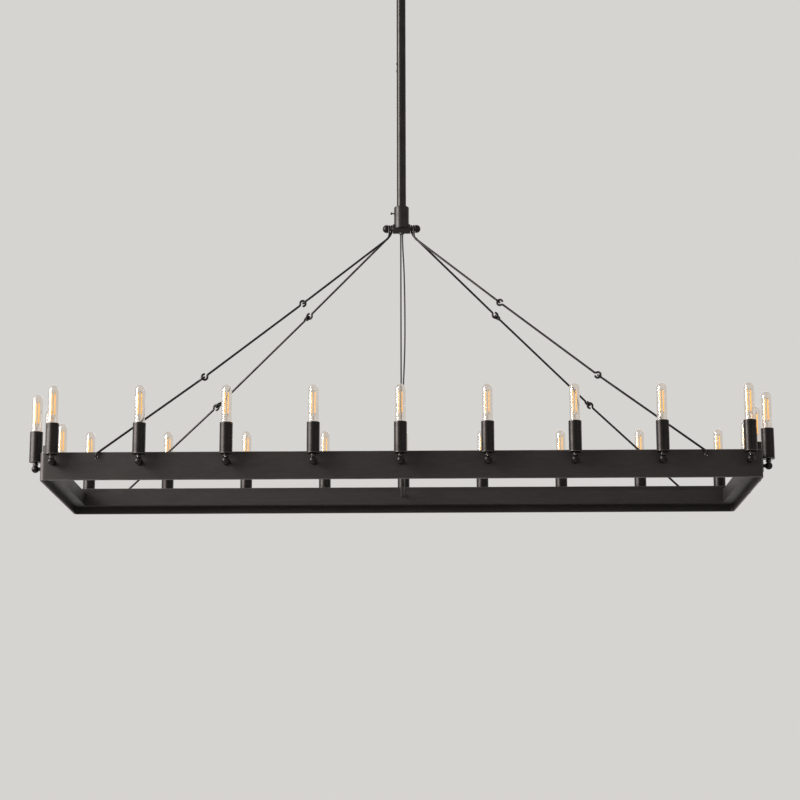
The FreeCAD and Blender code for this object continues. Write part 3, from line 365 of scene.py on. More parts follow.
def tones(tree: bpy.types.NodeTree, pattern: bpy.types.NodeSocket, low: float, high: float, first: Any,
          second: Any, most: float = 1.0) -> bpy.types.NodeSocket:
    """Two colours that follow a pattern.

    Args:
        tree: the material's node tree.
        pattern: the pattern.
        low: where it is at this or below, the first colour shows alone.
        high: where it is at this or above, the second colour is at its strongest.
        first: a hex value or another node's output.
        second: the same.
        most: the second colour's largest share.

    Returns:
        The colour.
    """
    share = add_node(tree, "MapRange", {0: pattern, 1: low, 2: high, 3: 0.0, 4: most}).outputs["Result"]
    first, second = (linear(part) if isinstance(part, str) else part for part in (first, second))
    return add_node(tree, "Mix", {0: share, 6: first, 7: second}, data_type="RGBA").outputs[2]


def empty_tree(owner: bpy.types.ID) -> bpy.types.NodeTree:
    """The emptied node tree of a material or a world."""
    owner.use_nodes = True
    owner.node_tree.nodes.clear()
    return owner.node_tree


@dataclass(frozen=True)
class Finish:
    """A finish: the record's slot that it stands for and a name that says what it is."""
    slot: Slot
    name: str

    def material(self) -> bpy.types.Material:
        """The finish as a material, made once."""
        found = bpy.data.materials.get(self.name)
        if found is None:
            found = bpy.data.materials.new(self.name)
            tree = empty_tree(found)
            add_node(tree, "OutputMaterial", {"Surface": self.shader(tree)})
        return found

    def shader(self, tree: bpy.types.NodeTree) -> bpy.types.NodeSocket:
        """The shader's output, made in the tree."""
        raise NotImplementedError


@dataclass(frozen=True)
class BlackenedMetal(Finish):
    """Iron or steel blackened by an oil-quenched oxide: almost black and warm, clouded where the oil
    dried unevenly, with fine marks along the way it was rolled or turned, and rubbed brighter at edges."""
    base: str = "#262322"
    cloud: str = "#1d1b1a"
    rubbed: str = "#6f6964"
    grain: Grain = Grain.EVEN
    grain_mm: float = 1.4            # rolling and turning marks are under 0.3 mm, drawn coarser to show
    marks: float = 0.05              # how far the strongest mark goes towards the rubbed colour
    cloud_mm: float = 45.0
    roughness: float = 0.4
    metallic: float = 0.75
    relief_mm: float = 0.006

    def shader(self, tree: bpy.types.NodeTree) -> bpy.types.NodeSocket:
        """Clouded colour, grain in colour and roughness, and a low relief."""
        clouds = blotches(tree, self.cloud_mm, 4.0, stretch=(0.45, 0.45, 1.0))
        grain = blotches(tree, self.grain_mm, 4.0, 0.65, self.grain.value)
        wear = add_node(tree, "Attribute", attribute_name="wear", attribute_type="GEOMETRY").outputs["Fac"]
        shade = tones(tree, clouds, 0.32, 0.68, self.cloud, self.base)
        marks = tones(tree, grain, 0.4, 0.75, shade, self.rubbed, self.marks)
        patches = add_node(tree, "MapRange", {0: grain, 1: 0.3, 2: 0.6, 3: 0.25, 4: 1.0}).outputs["Result"]
        patchy = add_node(tree, "Math", {0: wear, 1: patches}, operation="MULTIPLY").outputs["Value"]
        colour = add_node(tree, "Mix", {0: patchy, 6: marks, 7: linear(self.rubbed)},
                          data_type="RGBA").outputs[2]
        fine = add_node(tree, "MapRange", {0: grain, 1: 0.3, 2: 0.7, 3: -0.03, 4: 0.03}).outputs["Result"]
        broad = add_node(tree, "MapRange", {0: clouds, 1: 0.3, 2: 0.7, 3: self.roughness + 0.05,
                                            4: self.roughness - 0.04}).outputs["Result"]
        rough = add_node(tree, "Math", {0: fine, 1: broad}, operation="ADD").outputs["Value"]
        bump = add_node(tree, "Bump", {"Height": grain, "Strength": 1.0, "Distance": self.relief_mm * MM})
        return add_node(tree, "BsdfPrincipled", {"Base Color": colour, "Metallic": self.metallic,
                                                 "Roughness": rough,
                                                 "Normal": bump.outputs["Normal"]}).outputs[0]


@dataclass(frozen=True)
class PlatedMetal(Finish):
    """Bright plating such as zinc or nickel: even, slightly cloudy, with a soft shine."""
    base: str = "#b9b7b2"
    cloud: str = "#97948d"
    roughness: float = 0.32
    cloud_mm: float = 6.0

    def shader(self, tree: bpy.types.NodeTree) -> bpy.types.NodeSocket:
        """Two near colours in clouds, and roughness that follows them."""
        clouds = blotches(tree, self.cloud_mm)
        colour = tones(tree, clouds, 0.35, 0.65, self.cloud, self.base)
        rough = add_node(tree, "MapRange", {0: clouds, 1: 0.3, 2: 0.7, 3: self.roughness + 0.08,
                                            4: self.roughness - 0.06}).outputs["Result"]
        return add_node(tree, "BsdfPrincipled", {"Base Color": colour, "Metallic": 1.0,
                                                 "Roughness": rough}).outputs[0]


@dataclass(frozen=True)
class Moulded(Finish):
    """Moulded plastic or painted metal: one colour, a faint orange-peel relief and an even sheen."""
    base: str = "#1d1c1b"
    fleck: str = "#2a2826"
    roughness: float = 0.45
    peel_mm: float = 1.2

    def shader(self, tree: bpy.types.NodeTree) -> bpy.types.NodeSocket:
        """Faint flecks and a low relief."""
        peel = blotches(tree, self.peel_mm, 2.0)
        colour = tones(tree, peel, 0.4, 0.7, self.base, self.fleck)
        bump = add_node(tree, "Bump", {"Height": peel, "Strength": 0.6, "Distance": 0.02 * MM})
        rough = add_node(tree, "MapRange", {0: peel, 1: 0.3, 2: 0.7, 3: self.roughness - 0.05,
                                            4: self.roughness + 0.05}).outputs["Result"]
        return add_node(tree, "BsdfPrincipled", {"Base Color": colour, "Roughness": rough,
                                                 "Normal": bump.outputs["Normal"]}).outputs[0]


@dataclass(frozen=True)
class BraidedSleeve(Finish):
    """Black braided textile sleeve of a lamp cord: two sets of strands cross at a slant into small
    lozenges, with a painted highlight on each raised crown and painted shade in the hollows between them.
    The braid follows the cord's own length and turn."""
    base: str = "#121110"
    # painted highlight: the lighter colour given to the braid's raised crowns
    crown: str = "#282523"
    pitch_mm: float = 2.4            # length along the cord of one strand's width
    strands: int = 8

    def shader(self, tree: bpy.types.NodeTree) -> bpy.types.NodeSocket:
        """Product of two slanting sine waves as relief and roughness, and in the colour as painted light:
        highlight on the crowns, shade between.
        """
        chart = add_node(tree, "UVMap", uv_map="chart").outputs["UV"]
        parts = add_node(tree, "SeparateXYZ", {0: chart})
        length = add_node(tree, "Math", {0: parts.outputs["X"], 1: 2 * math.pi / self.pitch_mm},
                          operation="MULTIPLY").outputs["Value"]
        turn = add_node(tree, "Math", {0: parts.outputs["Y"], 1: math.pi * self.strands},
                        operation="MULTIPLY").outputs["Value"]
        waves = []
        for slant in ("ADD", "SUBTRACT"):
            phase = add_node(tree, "Math", {0: length, 1: turn}, operation=slant).outputs["Value"]
            waves.append(add_node(tree, "Math", {0: phase}, operation="SINE").outputs["Value"])
        braid = add_node(tree, "Math", {0: waves[0], 1: waves[1]}, operation="MULTIPLY").outputs["Value"]
        # painted light: crowns lighter and the hollows between strands darker, following the braid's height
        colour = tones(tree, braid, -0.8, 0.8, self.base, self.crown)
        bump = add_node(tree, "Bump", {"Height": braid, "Strength": 0.7, "Distance": 0.12 * MM})
        rough = add_node(tree, "MapRange", {0: braid, 1: -1.0, 2: 1.0, 3: 0.85, 4: 0.65}).outputs["Result"]
        return add_node(tree, "BsdfPrincipled", {"Base Color": colour, "Roughness": rough,
                                                 "Normal": bump.outputs["Normal"]}).outputs[0]


@dataclass(frozen=True)
class DrawnGlass(Finish):
    """Clear soda-lime glass tube, drawn and fire-polished: a faint warm body, a little cloudier along
    the upright bands that the drawing leaves."""
    tint: str = "#f9f5f2"
    band: str = "#f4efe9"
    band_mm: float = 9.0

    def shader(self, tree: bpy.types.NodeTree) -> bpy.types.NodeSocket:
        """Clear glass with long upright bands in tint and roughness."""
        bands = blotches(tree, self.band_mm, 1.0, stretch=(1.0, 1.0, 0.12))
        tint = tones(tree, bands, 0.35, 0.65, self.tint, self.band)
        rough = add_node(tree, "MapRange", {0: bands, 1: 0.35, 2: 0.65,
                                            3: 0.03, 4: 0.06}).outputs["Result"]
        return add_node(tree, "BsdfPrincipled", {"Base Color": tint, "Roughness": rough, "IOR": 1.5,
                                                 "Transmission Weight": 1.0}).outputs[0]


@dataclass(frozen=True)
class GlowingPhosphor(Finish):
    """Lit filament bars: a grainy coat of gold phosphor with an even glow of its own colour."""
    base: str = "#d89a3a"
    glow: str = "#efbd62"
    strength: float = 1.0
    grain_mm: float = 0.9

    def shader(self, tree: bpy.types.NodeTree) -> bpy.types.NodeSocket:
        """Grainy phosphor with a steady glow."""
        grain = blotches(tree, self.grain_mm, 2.0)
        glow = tones(tree, grain, 0.35, 0.65, self.base, self.glow)
        return add_node(tree, "BsdfPrincipled", {"Base Color": glow, "Roughness": 0.5,
                                                 "Emission Color": glow,
                                                 "Emission Strength": self.strength}).outputs[0]


BAND_IRON = BlackenedMetal(Slot.IRON, "hot_rolled_flat_bar", base="#2c2928", cloud="#232020",
                           grain=Grain.LEVEL, grain_mm=1.6, marks=0.06, cloud_mm=70.0, roughness=0.5,
                           metallic=0.7)
CAST_IRON = BlackenedMetal(Slot.IRON, "blackened_casting", grain_mm=0.9, cloud_mm=14.0, roughness=0.36,
                           relief_mm=0.012)
TURNED_STEEL = BlackenedMetal(Slot.STEEL, "blackened_turned_steel", base="#1f1c1b", cloud="#191716",
                              grain=Grain.LEVEL, grain_mm=0.6, marks=0.03, cloud_mm=30.0, roughness=0.36,
                              metallic=0.85, relief_mm=0.003)
PIPE_STEEL = BlackenedMetal(Slot.STEEL, "blackened_drawn_pipe", base="#2b2927", cloud="#22201e",
                            grain=Grain.UPRIGHT, grain_mm=1.2, roughness=0.24, metallic=0.85,
                            relief_mm=0.001)
ROD_STEEL = BlackenedMetal(Slot.STEEL, "blackened_round_rod", base="#201d1c", cloud="#171515", grain_mm=1.6,
                           marks=0.03, cloud_mm=18.0, roughness=0.34)
SHEET_STEEL = BlackenedMetal(Slot.STEEL, "blackened_sheet", base="#231f1f", cloud="#1b1918",
                             grain=Grain.LEVEL, grain_mm=1.8, roughness=0.5, metallic=0.5)
ZINC = PlatedMetal(Slot.ZINC, "zinc_plated_steel")
NICKEL = PlatedMetal(Slot.NICKEL, "nickel_plated_brass", base="#c9c3b6", cloud="#b1a994", roughness=0.24)
EARTH_GREEN = Moulded(Slot.EARTH, "green_passivated_screw", base="#2f6b3a", fleck="#3b7d45", roughness=0.35)
NYLON = Moulded(Slot.NYLON, "moulded_nylon")
PHENOLIC = Moulded(Slot.PHENOLIC, "moulded_phenolic", base="#1b1817", fleck="#2b2522", roughness=0.3)
WIRE = Moulded(Slot.WIRE, "extruded_wire_insulation", base="#201e1d", fleck="#2a2827", roughness=0.4)
CORD = BraidedSleeve(Slot.CORD, "braided_cord_sleeve")
GLASS = DrawnGlass(Slot.GLASS, "drawn_clear_glass")
PHOSPHOR = GlowingPhosphor(Slot.PHOSPHOR, "lit_phosphor")


# ---------------------------------------------------------------- pieces
def dress(finish: Finish, *nodes: str) -> None:
    """Give CAD nodes a finish, in their own material slots.

    Args:
        finish: the finish.
        nodes: names of CAD nodes.
    """
    for node in nodes:
        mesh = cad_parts[node].data
        mesh.materials.clear()
        mesh.materials.append(finish.material())
        log.info("%s: CAD solid in %s", node, finish.name)


def link_object(name: str, data: Optional[bpy.types.ID]) -> bpy.types.Object:
    """A new object with this data, linked to the scene."""
    made = bpy.data.objects.new(name, data)
    bpy.context.scene.collection.objects.link(made)
    return made


def smooth(mesh: bpy.types.Mesh, crease: float) -> None:
    """Shade a mesh smooth, but keep edges sharper than this angle in degrees crisp."""
    mesh.shade_smooth()
    mesh.set_sharp_from_angle(angle=math.radians(crease))


def add_piece(name: str, skin: Skin, finish: Finish, body: Optional[Body],
              stands_for: Sequence[str]) -> bpy.types.Object:
    """Make a skin a piece of the pendant.

    Args:
        name: the piece's name.
        skin: its surface in millimetres.
        finish: its finish.
        body: the body that it moves with, or None for a piece that runs between two and is put on neither.
        stands_for: CAD nodes that it replaces.

    Returns:
        The piece.
    """
    mesh = skin.mesh(name)
    smooth(mesh, PIECE_CREASE)
    mesh.materials.append(finish.material())
    piece = link_object(name, mesh)
    if body is not None:
        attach(piece, body.value)
    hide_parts(*stands_for)
    log.info("%s: %d faces in %s", name, len(mesh.polygons), finish.name)
    return piece


@dataclass
class CeilingMount:
    """Canopy, crossbar and the fasteners that hold the hanger."""
    stud_spacing: float = 54.0
    canopy_bottom: float = -25.0
    nut_diameter: float = 10.0
    nut_height: float = 8.0
    nut_skirt: float = 1.6
    nut_chamfer: float = 0.3
    nut_groove_depth: float = 0.35
    nut_groove_width: float = 0.5
    nut_step: float = 0.1            # how far the dome stands back from the skirt

    def cap_nuts(self) -> Skin:
        """The two domed nuts: a short skirt with a groove, then a dome."""
        radius, skirt, groove = self.nut_diameter / 2, -self.nut_skirt, self.nut_groove_width
        dome = radius - self.nut_step
        chamfer = run((radius - self.nut_chamfer, 0), (radius, -self.nut_chamfer), wear=0.6)
        profile = np.concatenate([run((0, 0)), chamfer,
                                  run((radius, skirt), (radius - self.nut_groove_depth, skirt - groove / 2),
                                      (dome, skirt - groove)),
                                  bend(0, skirt - groove, dome, 0, -90, 12, 0.15)[1:]])
        profile[-1, 0] = 0.0
        profile[:, 1] *= self.nut_height / -profile[-1, 1]
        shifts = np.array([[side * self.stud_spacing / 2, 0, self.canopy_bottom] for side in (-1, 1)])
        return turned(profile, ROUND_SIDES).shifted(shifts)

    def build(self) -> None:
        """Dress the ceiling pieces."""
        add_piece("domed_canopy_nuts", self.cap_nuts(), TURNED_STEEL, Body.CEILING, ["canopy_cap_nuts"])
        dress(TURNED_STEEL, "canopy")
        dress(ZINC, "ceiling_crossbar", "canopy_studs", "hanger", "hanger_lock_nut")
        dress(EARTH_GREEN, "ground_screw")


@dataclass
class StemAndHub:
    """Swivel, pipe stem and the tee that the rods hang on."""
    pipe_radius: float = 10.65
    joint_level: float = -429.0
    joint_screw_spacing: float = 18.0
    joint_screw_turn: float = 205.0
    screw_head_radius: float = 3.2
    screw_head_height: float = 1.2
    screw_head_fall: float = 0.8     # share of the dome's squared height lost at its rim
    screw_head_bedding: float = 0.2
    drive_slot_width: float = 0.9
    drive_slot_depth: float = 0.6
    drive_slot_edge: float = 0.06    # softness of the slot's edges
    thumb_screw_level: float = -779.5
    thumb_screw_outer: float = -25.0
    thumb_head_length: float = 3.4
    thumb_head_radius: float = 2.8
    thumb_shank_radius: float = 1.5
    thumb_shank_inner: float = -10.9
    thumb_inner_round: float = 0.6
    thumb_outer_round: float = 0.5
    knurls: int = 18
    knurl_depth: float = 0.22
    cord_spacing: float = 3.9
    cord_radius: float = 1.7
    cord_low: float = -828.2
    cord_high: float = -58.8

    def joint_screws(self) -> Skin:
        """Two low domed heads with a drive slot, bedded on the pipe.

        A head is a disc z(r) = dome, lowered where |y| is inside the slot, over a skirt that follows
        the pipe's round: depth(y) = R - sqrt(R^2 - y^2).
        """
        rings, sides = 12, 48
        radius = np.linspace(0.08, 1.0, rings)[:, None] * self.screw_head_radius
        angle = np.arange(sides)[None] * (2 * math.pi / sides)
        x, y = radius * np.cos(angle), radius * np.sin(angle)
        fall = (radius / self.screw_head_radius) ** 2 * self.screw_head_fall
        dome = self.screw_head_height * np.sqrt(np.clip(1 - fall, 0, 1))
        inside = (np.abs(y) - self.drive_slot_width / 2) / self.drive_slot_edge
        slot = self.drive_slot_depth / (1 + np.exp(inside))
        top = np.stack([x, y, np.broadcast_to(dome, x.shape) - slot], axis=-1)
        skirt_y = self.screw_head_radius * np.sin(angle[0])
        sunk = self.pipe_radius - np.sqrt(self.pipe_radius ** 2 - skirt_y ** 2) + self.screw_head_bedding
        skirt = np.stack([x[-1], y[-1], -sunk], axis=-1)
        points = np.concatenate([top.reshape(-1, 3), skirt])
        faces = (grid_quads(rings + 1, sides, False), np.arange(sides)[None, ::-1],
                 np.arange(sides)[None] + rings * sides)
        head = Skin(points, faces, np.zeros(len(points))).outward()
        turn = math.radians(self.joint_screw_turn)
        out = np.array([math.cos(turn), math.sin(turn), 0.0])
        frame_of_head = np.column_stack([[0, 0, 1], np.cross(out, [0, 0, 1]), out])
        levels = [self.joint_level + side * self.joint_screw_spacing / 2 for side in (-1, 1)]
        shifts = np.array([out * self.pipe_radius + [0, 0, level] for level in levels])
        return head.placed(np.repeat(frame_of_head[None], 2, axis=0), shifts)

    def thumb_screw(self) -> Skin:
        """Thumb screw with a knurled head: r(v) = R - depth (1 - cos nv) / 2 on the head's side."""
        radius, length = self.thumb_head_radius, self.thumb_head_length
        reach = self.thumb_shank_inner - self.thumb_screw_outer
        inner, outer = self.thumb_inner_round, self.thumb_outer_round
        profile = np.concatenate([run((0, 0)), bend(radius - inner, inner, inner, -90, 0, 4, 0.7),
                                  run((radius, inner + 0.4), (radius, length - outer - 0.4)),
                                  bend(radius - outer, length - outer, outer, 0, 90, 4, 0.5),
                                  run((self.thumb_shank_radius, length), (self.thumb_shank_radius, reach),
                                      (0, reach))])
        skin = turned(profile, self.knurls * 6)
        angle = np.arctan2(skin.points[:, 1], skin.points[:, 0])
        reach_out = np.hypot(skin.points[:, 0], skin.points[:, 1])
        wave = self.knurl_depth * (1 - np.cos(self.knurls * angle)) / 2
        cut = np.where(reach_out > radius - 0.3, wave, 0.0)
        points = skin.points.copy()
        points[:, :2] *= (1 - cut / np.maximum(reach_out, 1.0))[:, None]
        lying = np.array([[[0, 0, 1], [0, 1, 0], [-1, 0, 0]]], float)
        shift = np.array([[self.thumb_screw_outer, 0, self.thumb_screw_level]])
        return replace(skin, points=points).placed(lying, shift)

    def inner_cords(self) -> Skin:
        """The two cords inside the pipe, straight and upright."""
        return joined([strut((side * self.cord_spacing / 2, 0, self.cord_low),
                             (side * self.cord_spacing / 2, 0, self.cord_high), self.cord_radius, 16)
                       for side in (-1, 1)])

    def build(self) -> None:
        """Dress the swivel, stem and hub."""
        dress(CAST_IRON, "swivel_head", "swivel_tongue", "hub_tee")
        dress(TURNED_STEEL, "swivel_pin", "hub_pins", "hub_ball_nuts")
        dress(ZINC, "swivel_pin_clip", "pipe_sleeve")
        dress(PIPE_STEEL, "upper_pipe", "lower_pipe")
        dress(NYLON, "hub_cord_bushing")
        add_piece("slotted_joint_screws", self.joint_screws(), TURNED_STEEL, Body.STEM,
                  ["pipe_joint_screws"])
        add_piece("knurled_thumb_screw", self.thumb_screw(), TURNED_STEEL, Body.STEM, ["hub_set_screw"])
        add_piece("cords_in_stem", self.inner_cords(), WIRE, Body.STEM, ["stem_cords"])


@dataclass
class Chains:
    """The four chains of three hooked rods."""

    def build(self) -> None:
        """Dress the rods."""
        for part in ("upper", "middle", "lower"):
            for corner in ("front_left", "front_right", "back_left", "back_right"):
                dress(ROD_STEEL, f"{part}_link_{corner}")


@dataclass
class BarFrame:
    """The flat bar bent into a rectangle, with the wire channel inside it."""
    length: float = 1524.0
    width: float = 448.0
    top: float = -1371.3
    height: float = 60.0
    thickness: float = 4.0
    corner: float = 9.0
    edge_round: float = 0.7
    step: float = 9.0                # spacing of the rings along a straight side
    flat_margin: float = 1.6         # from the bar's edge to the first ring of its flat faces
    wander: float = 0.12             # how far the rolled bar wanders from flat, about
    waves: tuple[tuple[float, float, float], ...] = ((17, 4, 1.0), (41, -7, 0.6), (97, 11, 0.35))
    corner_gap: float = 0.004        # share of a side from a corner to its first ring
    arm_hole: float = 4.1
    hook_hole: float = 3.1
    hook_drop: float = 11.5
    hook_spacing: float = 1285.4

    def plan(self) -> tuple[Array, Array]:
        """Centres and angles whose rounds make the outline: point = centre + R (cos a, sin a)."""
        half = np.array([self.length / 2 - self.corner, self.width / 2 - self.corner])
        centres = half * np.array([[1, 1], [-1, 1], [-1, -1], [1, -1]])
        places, angles = [], []
        for number, (here, after) in enumerate(zip(centres, np.roll(centres, -1, axis=0))):
            turn = np.linspace(number, number + 1, 9) * (math.pi / 2)
            rings = int(round(np.linalg.norm(after - here) / self.step))
            share = np.linspace(0, 1, rings + 1)[1:-1, None]
            gap = self.corner_gap * (number % 2 + 1)
            share = np.concatenate([[[gap]], share, [[1 - gap]]])
            places += [np.repeat(here[None], len(turn), axis=0), here + share * (after - here)]
            angles += [turn, np.full(len(share), turn[-1])]
        return np.concatenate(places), np.concatenate(angles)

    def section(self) -> Array:
        """Section of the bar as rows of depth from the outer face, height and wear."""
        size, bottom, inner = self.edge_round, self.top - self.height, -self.thickness
        level = np.linspace(bottom + self.flat_margin, self.top - self.flat_margin, 9)
        outer = np.column_stack([np.zeros(9), level, np.zeros(9)])
        rounds = [bend(-size, self.top - size, size, 0, 90, 4, 0.55),
                  bend(inner + size, self.top - size, size, 90, 180, 4, 0.35),
                  bend(inner + size, bottom + size, size, 180, 270, 4, 0.35),
                  bend(-size, bottom + size, size, 270, 360, 4, 0.55)]
        back = outer[::-1] + [inner, 0, 0]
        return np.concatenate([outer, rounds[0], rounds[1], back, rounds[2], rounds[3]])

    def band(self) -> Skin:
        """The bar: point(u, v) = centre(u) + (R + depth(v) + wander(u, v)) (cos a, sin a), at height(v).

        wander is a sum of sine waves along the bar and up it; waves gives for each its turns round the
        frame, its radians up the bar and its share.
        """
        places, angles = self.plan()
        section = self.section()
        spoke = np.column_stack([np.cos(angles), np.sin(angles)])
        outline = places + self.corner * spoke
        length = np.concatenate([[0.0], np.cumsum(np.linalg.norm(np.diff(outline, axis=0), axis=1))])
        turn = (length / (length[-1] + self.step))[:, None] * 2 * math.pi
        height = (section[:, 1][None] - self.top) / self.height
        wander = self.wander * sum(share * np.sin(along * turn + up * height)
                                   for along, up, share in self.waves) / 1.5
        reach = self.corner + section[:, 0][None] + wander
        plane = places[:, None] + reach[..., None] * spoke[:, None]
        level = np.broadcast_to(section[:, 1][None], reach.shape) + 0.3 * wander
        points = np.concatenate([plane, level[..., None]], axis=2).reshape(-1, 3)
        wear = np.broadcast_to(section[:, 2][None], reach.shape).ravel()
        return Skin(points, (grid_quads(len(places), len(section), True),), wear).outward()

    def drills(self, lamps: "CandleLamps") -> Skin:
        """The holes' cutters: one for each lamp arm and each frame hook."""
        deep = 3 * self.thickness
        arm = strut((0, -deep, 0), (0, 2 * deep, 0), self.arm_hole, HOLE_SIDES)
        hook = strut((0, -deep, 0), (0, 2 * deep, 0), self.hook_hole, HOLE_SIDES)
        places = np.array([[x * self.hook_spacing / 2, y * self.width / 2, self.top - self.hook_drop]
                           for x in (-1, 1) for y in (-1, 1)])
        return joined([arm.placed(*lamps.stations()), hook.shifted(places)])

    def drilled(self, piece: bpy.types.Object, lamps: "CandleLamps") -> None:
        """Cut the holes through the band and keep the result as its mesh."""
        cutter = link_object("drills", self.drills(lamps).mesh("drills"))
        cut = piece.modifiers.new("holes", "BOOLEAN")
        cut.operation, cut.solver, cut.object = "DIFFERENCE", "EXACT", cutter
        bpy.context.view_layer.update()
        whole = piece.evaluated_get(bpy.context.evaluated_depsgraph_get())
        mesh = bpy.data.meshes.new_from_object(whole)
        piece.modifiers.clear()
        piece.data = mesh
        smooth(mesh, BAND_CREASE)
        bpy.data.objects.remove(cutter)

    def build(self, lamps: "CandleLamps") -> None:
        """Make the band and dress the channel."""
        band = add_piece("rolled_flat_bar_band", self.band(), BAND_IRON, Body.FRAME, ["frame_band"])
        self.drilled(band, lamps)
        dress(SHEET_STEEL, "channel_front", "channel_back", "channel_left", "channel_right")
        dress(WIRE, "channel_loom")
        dress(NYLON, "cord_grommets")


@dataclass
class CandleLamps:
    """The 24 candle lamps. Heights are above a lamp's arm, on the axis of its cup."""
    frame_length: float = 1524.0
    frame_width: float = 448.0
    arm_level: float = -1394.8
    standoff: float = 22.0
    long_side: tuple[int, float] = (9, 183.4)
    short_side: tuple[int, float] = (3, 155.0)
    ball_radius: float = 8.25
    bead_radius: float = 6.2
    bead_bottom: float = 8.35
    bead_top: float = 11.75
    bead_round: float = 1.5
    bead_bedding: float = 0.35       # how far the bead sinks into the ball's seat
    collar_radius: float = 4.7
    bore_radius: float = 3.3
    cup_radius: float = 13.8
    cup_bottom: float = 14.8
    cup_top: float = 81.0
    cup_wall: float = 1.2
    cup_round: float = 0.5
    cup_lip_round: float = 0.4
    cup_floor: float = 1.5
    low_grooves: tuple[float, ...] = (4.6, 7.4, 10.2, 13.0)     # above the cup's bottom
    high_grooves: tuple[float, ...] = (12.2, 9.4, 6.6)          # below its top
    groove_depth: float = 0.2
    groove_width: float = 0.42
    glass_radius: float = 11.0
    glass_wall: float = 0.7
    neck_radius: float = 5.4
    neck_level: float = 66.7
    shoulder_level: float = 75.5
    tip_level: float = 162.7
    stalk_radius: float = 1.6
    stalk_top: float = 90.8
    pinch_radius: float = 1.9
    flare_radius: float = 4.2
    flare_height: float = 7.0
    filament_radius: float = 0.95
    filament_low: float = 97.7
    filament_high: float = 147.7
    filament_circle: float = 4.8
    wire_radius: float = 0.35
    crown_rise: float = 1.9          # from the bars' ends to the top of the post
    clamp_length: float = 2.4
    clamp_slack: float = 0.12

    def stations(self) -> tuple[Array, Array]:
        """Turns and places of the lamps on the band's outer face."""
        turns, places = [], []
        half_length, half_width = self.frame_length / 2, self.frame_width / 2
        for number in range(self.long_side[0]):
            x = (number - (self.long_side[0] - 1) / 2) * self.long_side[1]
            turns += [0, 180]
            places += [(x, -half_width), (-x, half_width)]
        for number in range(self.short_side[0]):
            y = (number - (self.short_side[0] - 1) / 2) * self.short_side[1]
            turns += [90, 270]
            places += [(half_length, y), (-half_length, -y)]
        angle = np.radians(turns)
        zero, one = np.zeros(len(angle)), np.ones(len(angle))
        matrices = np.stack([np.cos(angle), -np.sin(angle), zero, np.sin(angle), np.cos(angle), zero,
                             zero, zero, one], axis=-1).reshape(-1, 3, 3)
        return matrices, np.column_stack([np.array(places), np.full(len(places), self.arm_level)])

    def everywhere(self, skin: Skin) -> Skin:
        """A piece drawn about a lamp's axis, put on all the lamps."""
        return replace(skin, points=skin.points - [0, self.standoff, 0]).placed(*self.stations())

    def cup(self) -> Skin:
        """Turned cup. Its outer wall is r(z) = R minus a dip at each turned ring."""
        radius, inner = self.cup_radius, self.cup_radius - self.cup_wall
        bottom, top = self.cup_bottom, self.cup_top
        rings = np.concatenate([bottom + np.array(self.low_grooves), top - np.array(self.high_grooves)])
        near = (np.sort(rings)[:, None] + np.array([-1.1, -0.5, 0.0, 0.5, 1.1])).ravel()
        plain = [bottom + 1.1, bottom + 22, bottom + 34, top - 21, top - 1.1]
        level = np.sort(np.concatenate([near, plain]))
        dip = self.groove_depth * np.exp(-((level[:, None] - rings) / self.groove_width) ** 2).sum(axis=1)
        wall = np.column_stack([radius - dip, level, np.zeros(len(level))])
        size, lip, floor = self.cup_round, self.cup_lip_round, bottom + self.cup_floor
        profile = np.concatenate([run((self.bore_radius, bottom), (radius - 1.2, bottom)),
                                  bend(radius - size, bottom + size, size, -90, 0, 4, 0.7), wall,
                                  bend(radius - size, top - size, size, 0, 90, 4, 0.8),
                                  bend(inner + lip, top - lip, lip, 90, 180, 3, 0.5),
                                  run((inner, top - 1.2), (inner, floor + 0.7)),
                                  run((inner - 0.6, floor), (self.bore_radius, floor))])
        return turned(profile, ROUND_SIDES, looped=True)

    def ball(self) -> Skin:
        """Turned ball on the end of the arm, with a small seat for the bead."""
        seat = 75.0                      # degrees up the ball
        crown = self.ball_radius * math.sin(math.radians(seat))
        profile = np.concatenate([bend(0, 0, self.ball_radius, -90, seat, 20, 0.0), run((0, crown))])
        profile[0, 0] = 0.0
        return turned(profile, BEAD_SIDES)

    def bead(self) -> Skin:
        """Bead and collar between the ball and the cup."""
        low, high, size = self.bead_bottom - self.bead_bedding, self.bead_top, self.bead_round
        centre = self.bead_radius - size
        profile = np.concatenate([run((self.bore_radius, low)),
                                  bend(centre, low + size, size, -90, 0, 6, 0.25),
                                  bend(centre, high - size, size, 0, 90, 6, 0.25),
                                  run((self.collar_radius, high), (self.collar_radius, self.cup_bottom),
                                      (self.bore_radius, self.cup_bottom))])
        return turned(profile, BEAD_SIDES, looped=True)

    def glass(self) -> Skin:
        """Bulb: a neck that swells to the tube as r(z) = neck + (R - neck) smoothstep(z), then a dome."""
        def side(inset: float) -> Array:
            share = np.linspace(0, 1, 9)
            swell = share * share * (3 - 2 * share)
            radius = self.neck_radius + (self.glass_radius - self.neck_radius) * swell - inset
            level = self.neck_level + share * (self.shoulder_level - self.neck_level)
            centre = self.tip_level - self.glass_radius
            dome = bend(0, centre, self.glass_radius - inset, 0, 90, 12)
            dome[-1, 0] = 0.0
            rise = np.linspace(self.shoulder_level, centre, 6)[1:-1]
            tube = np.column_stack([np.full(4, self.glass_radius - inset), rise, np.zeros(4)])
            return np.concatenate([np.column_stack([radius, level, np.zeros(9)]), tube, dome])
        return turned(np.concatenate([side(self.glass_wall)[::-1], side(0.0)]), GLASS_SIDES)

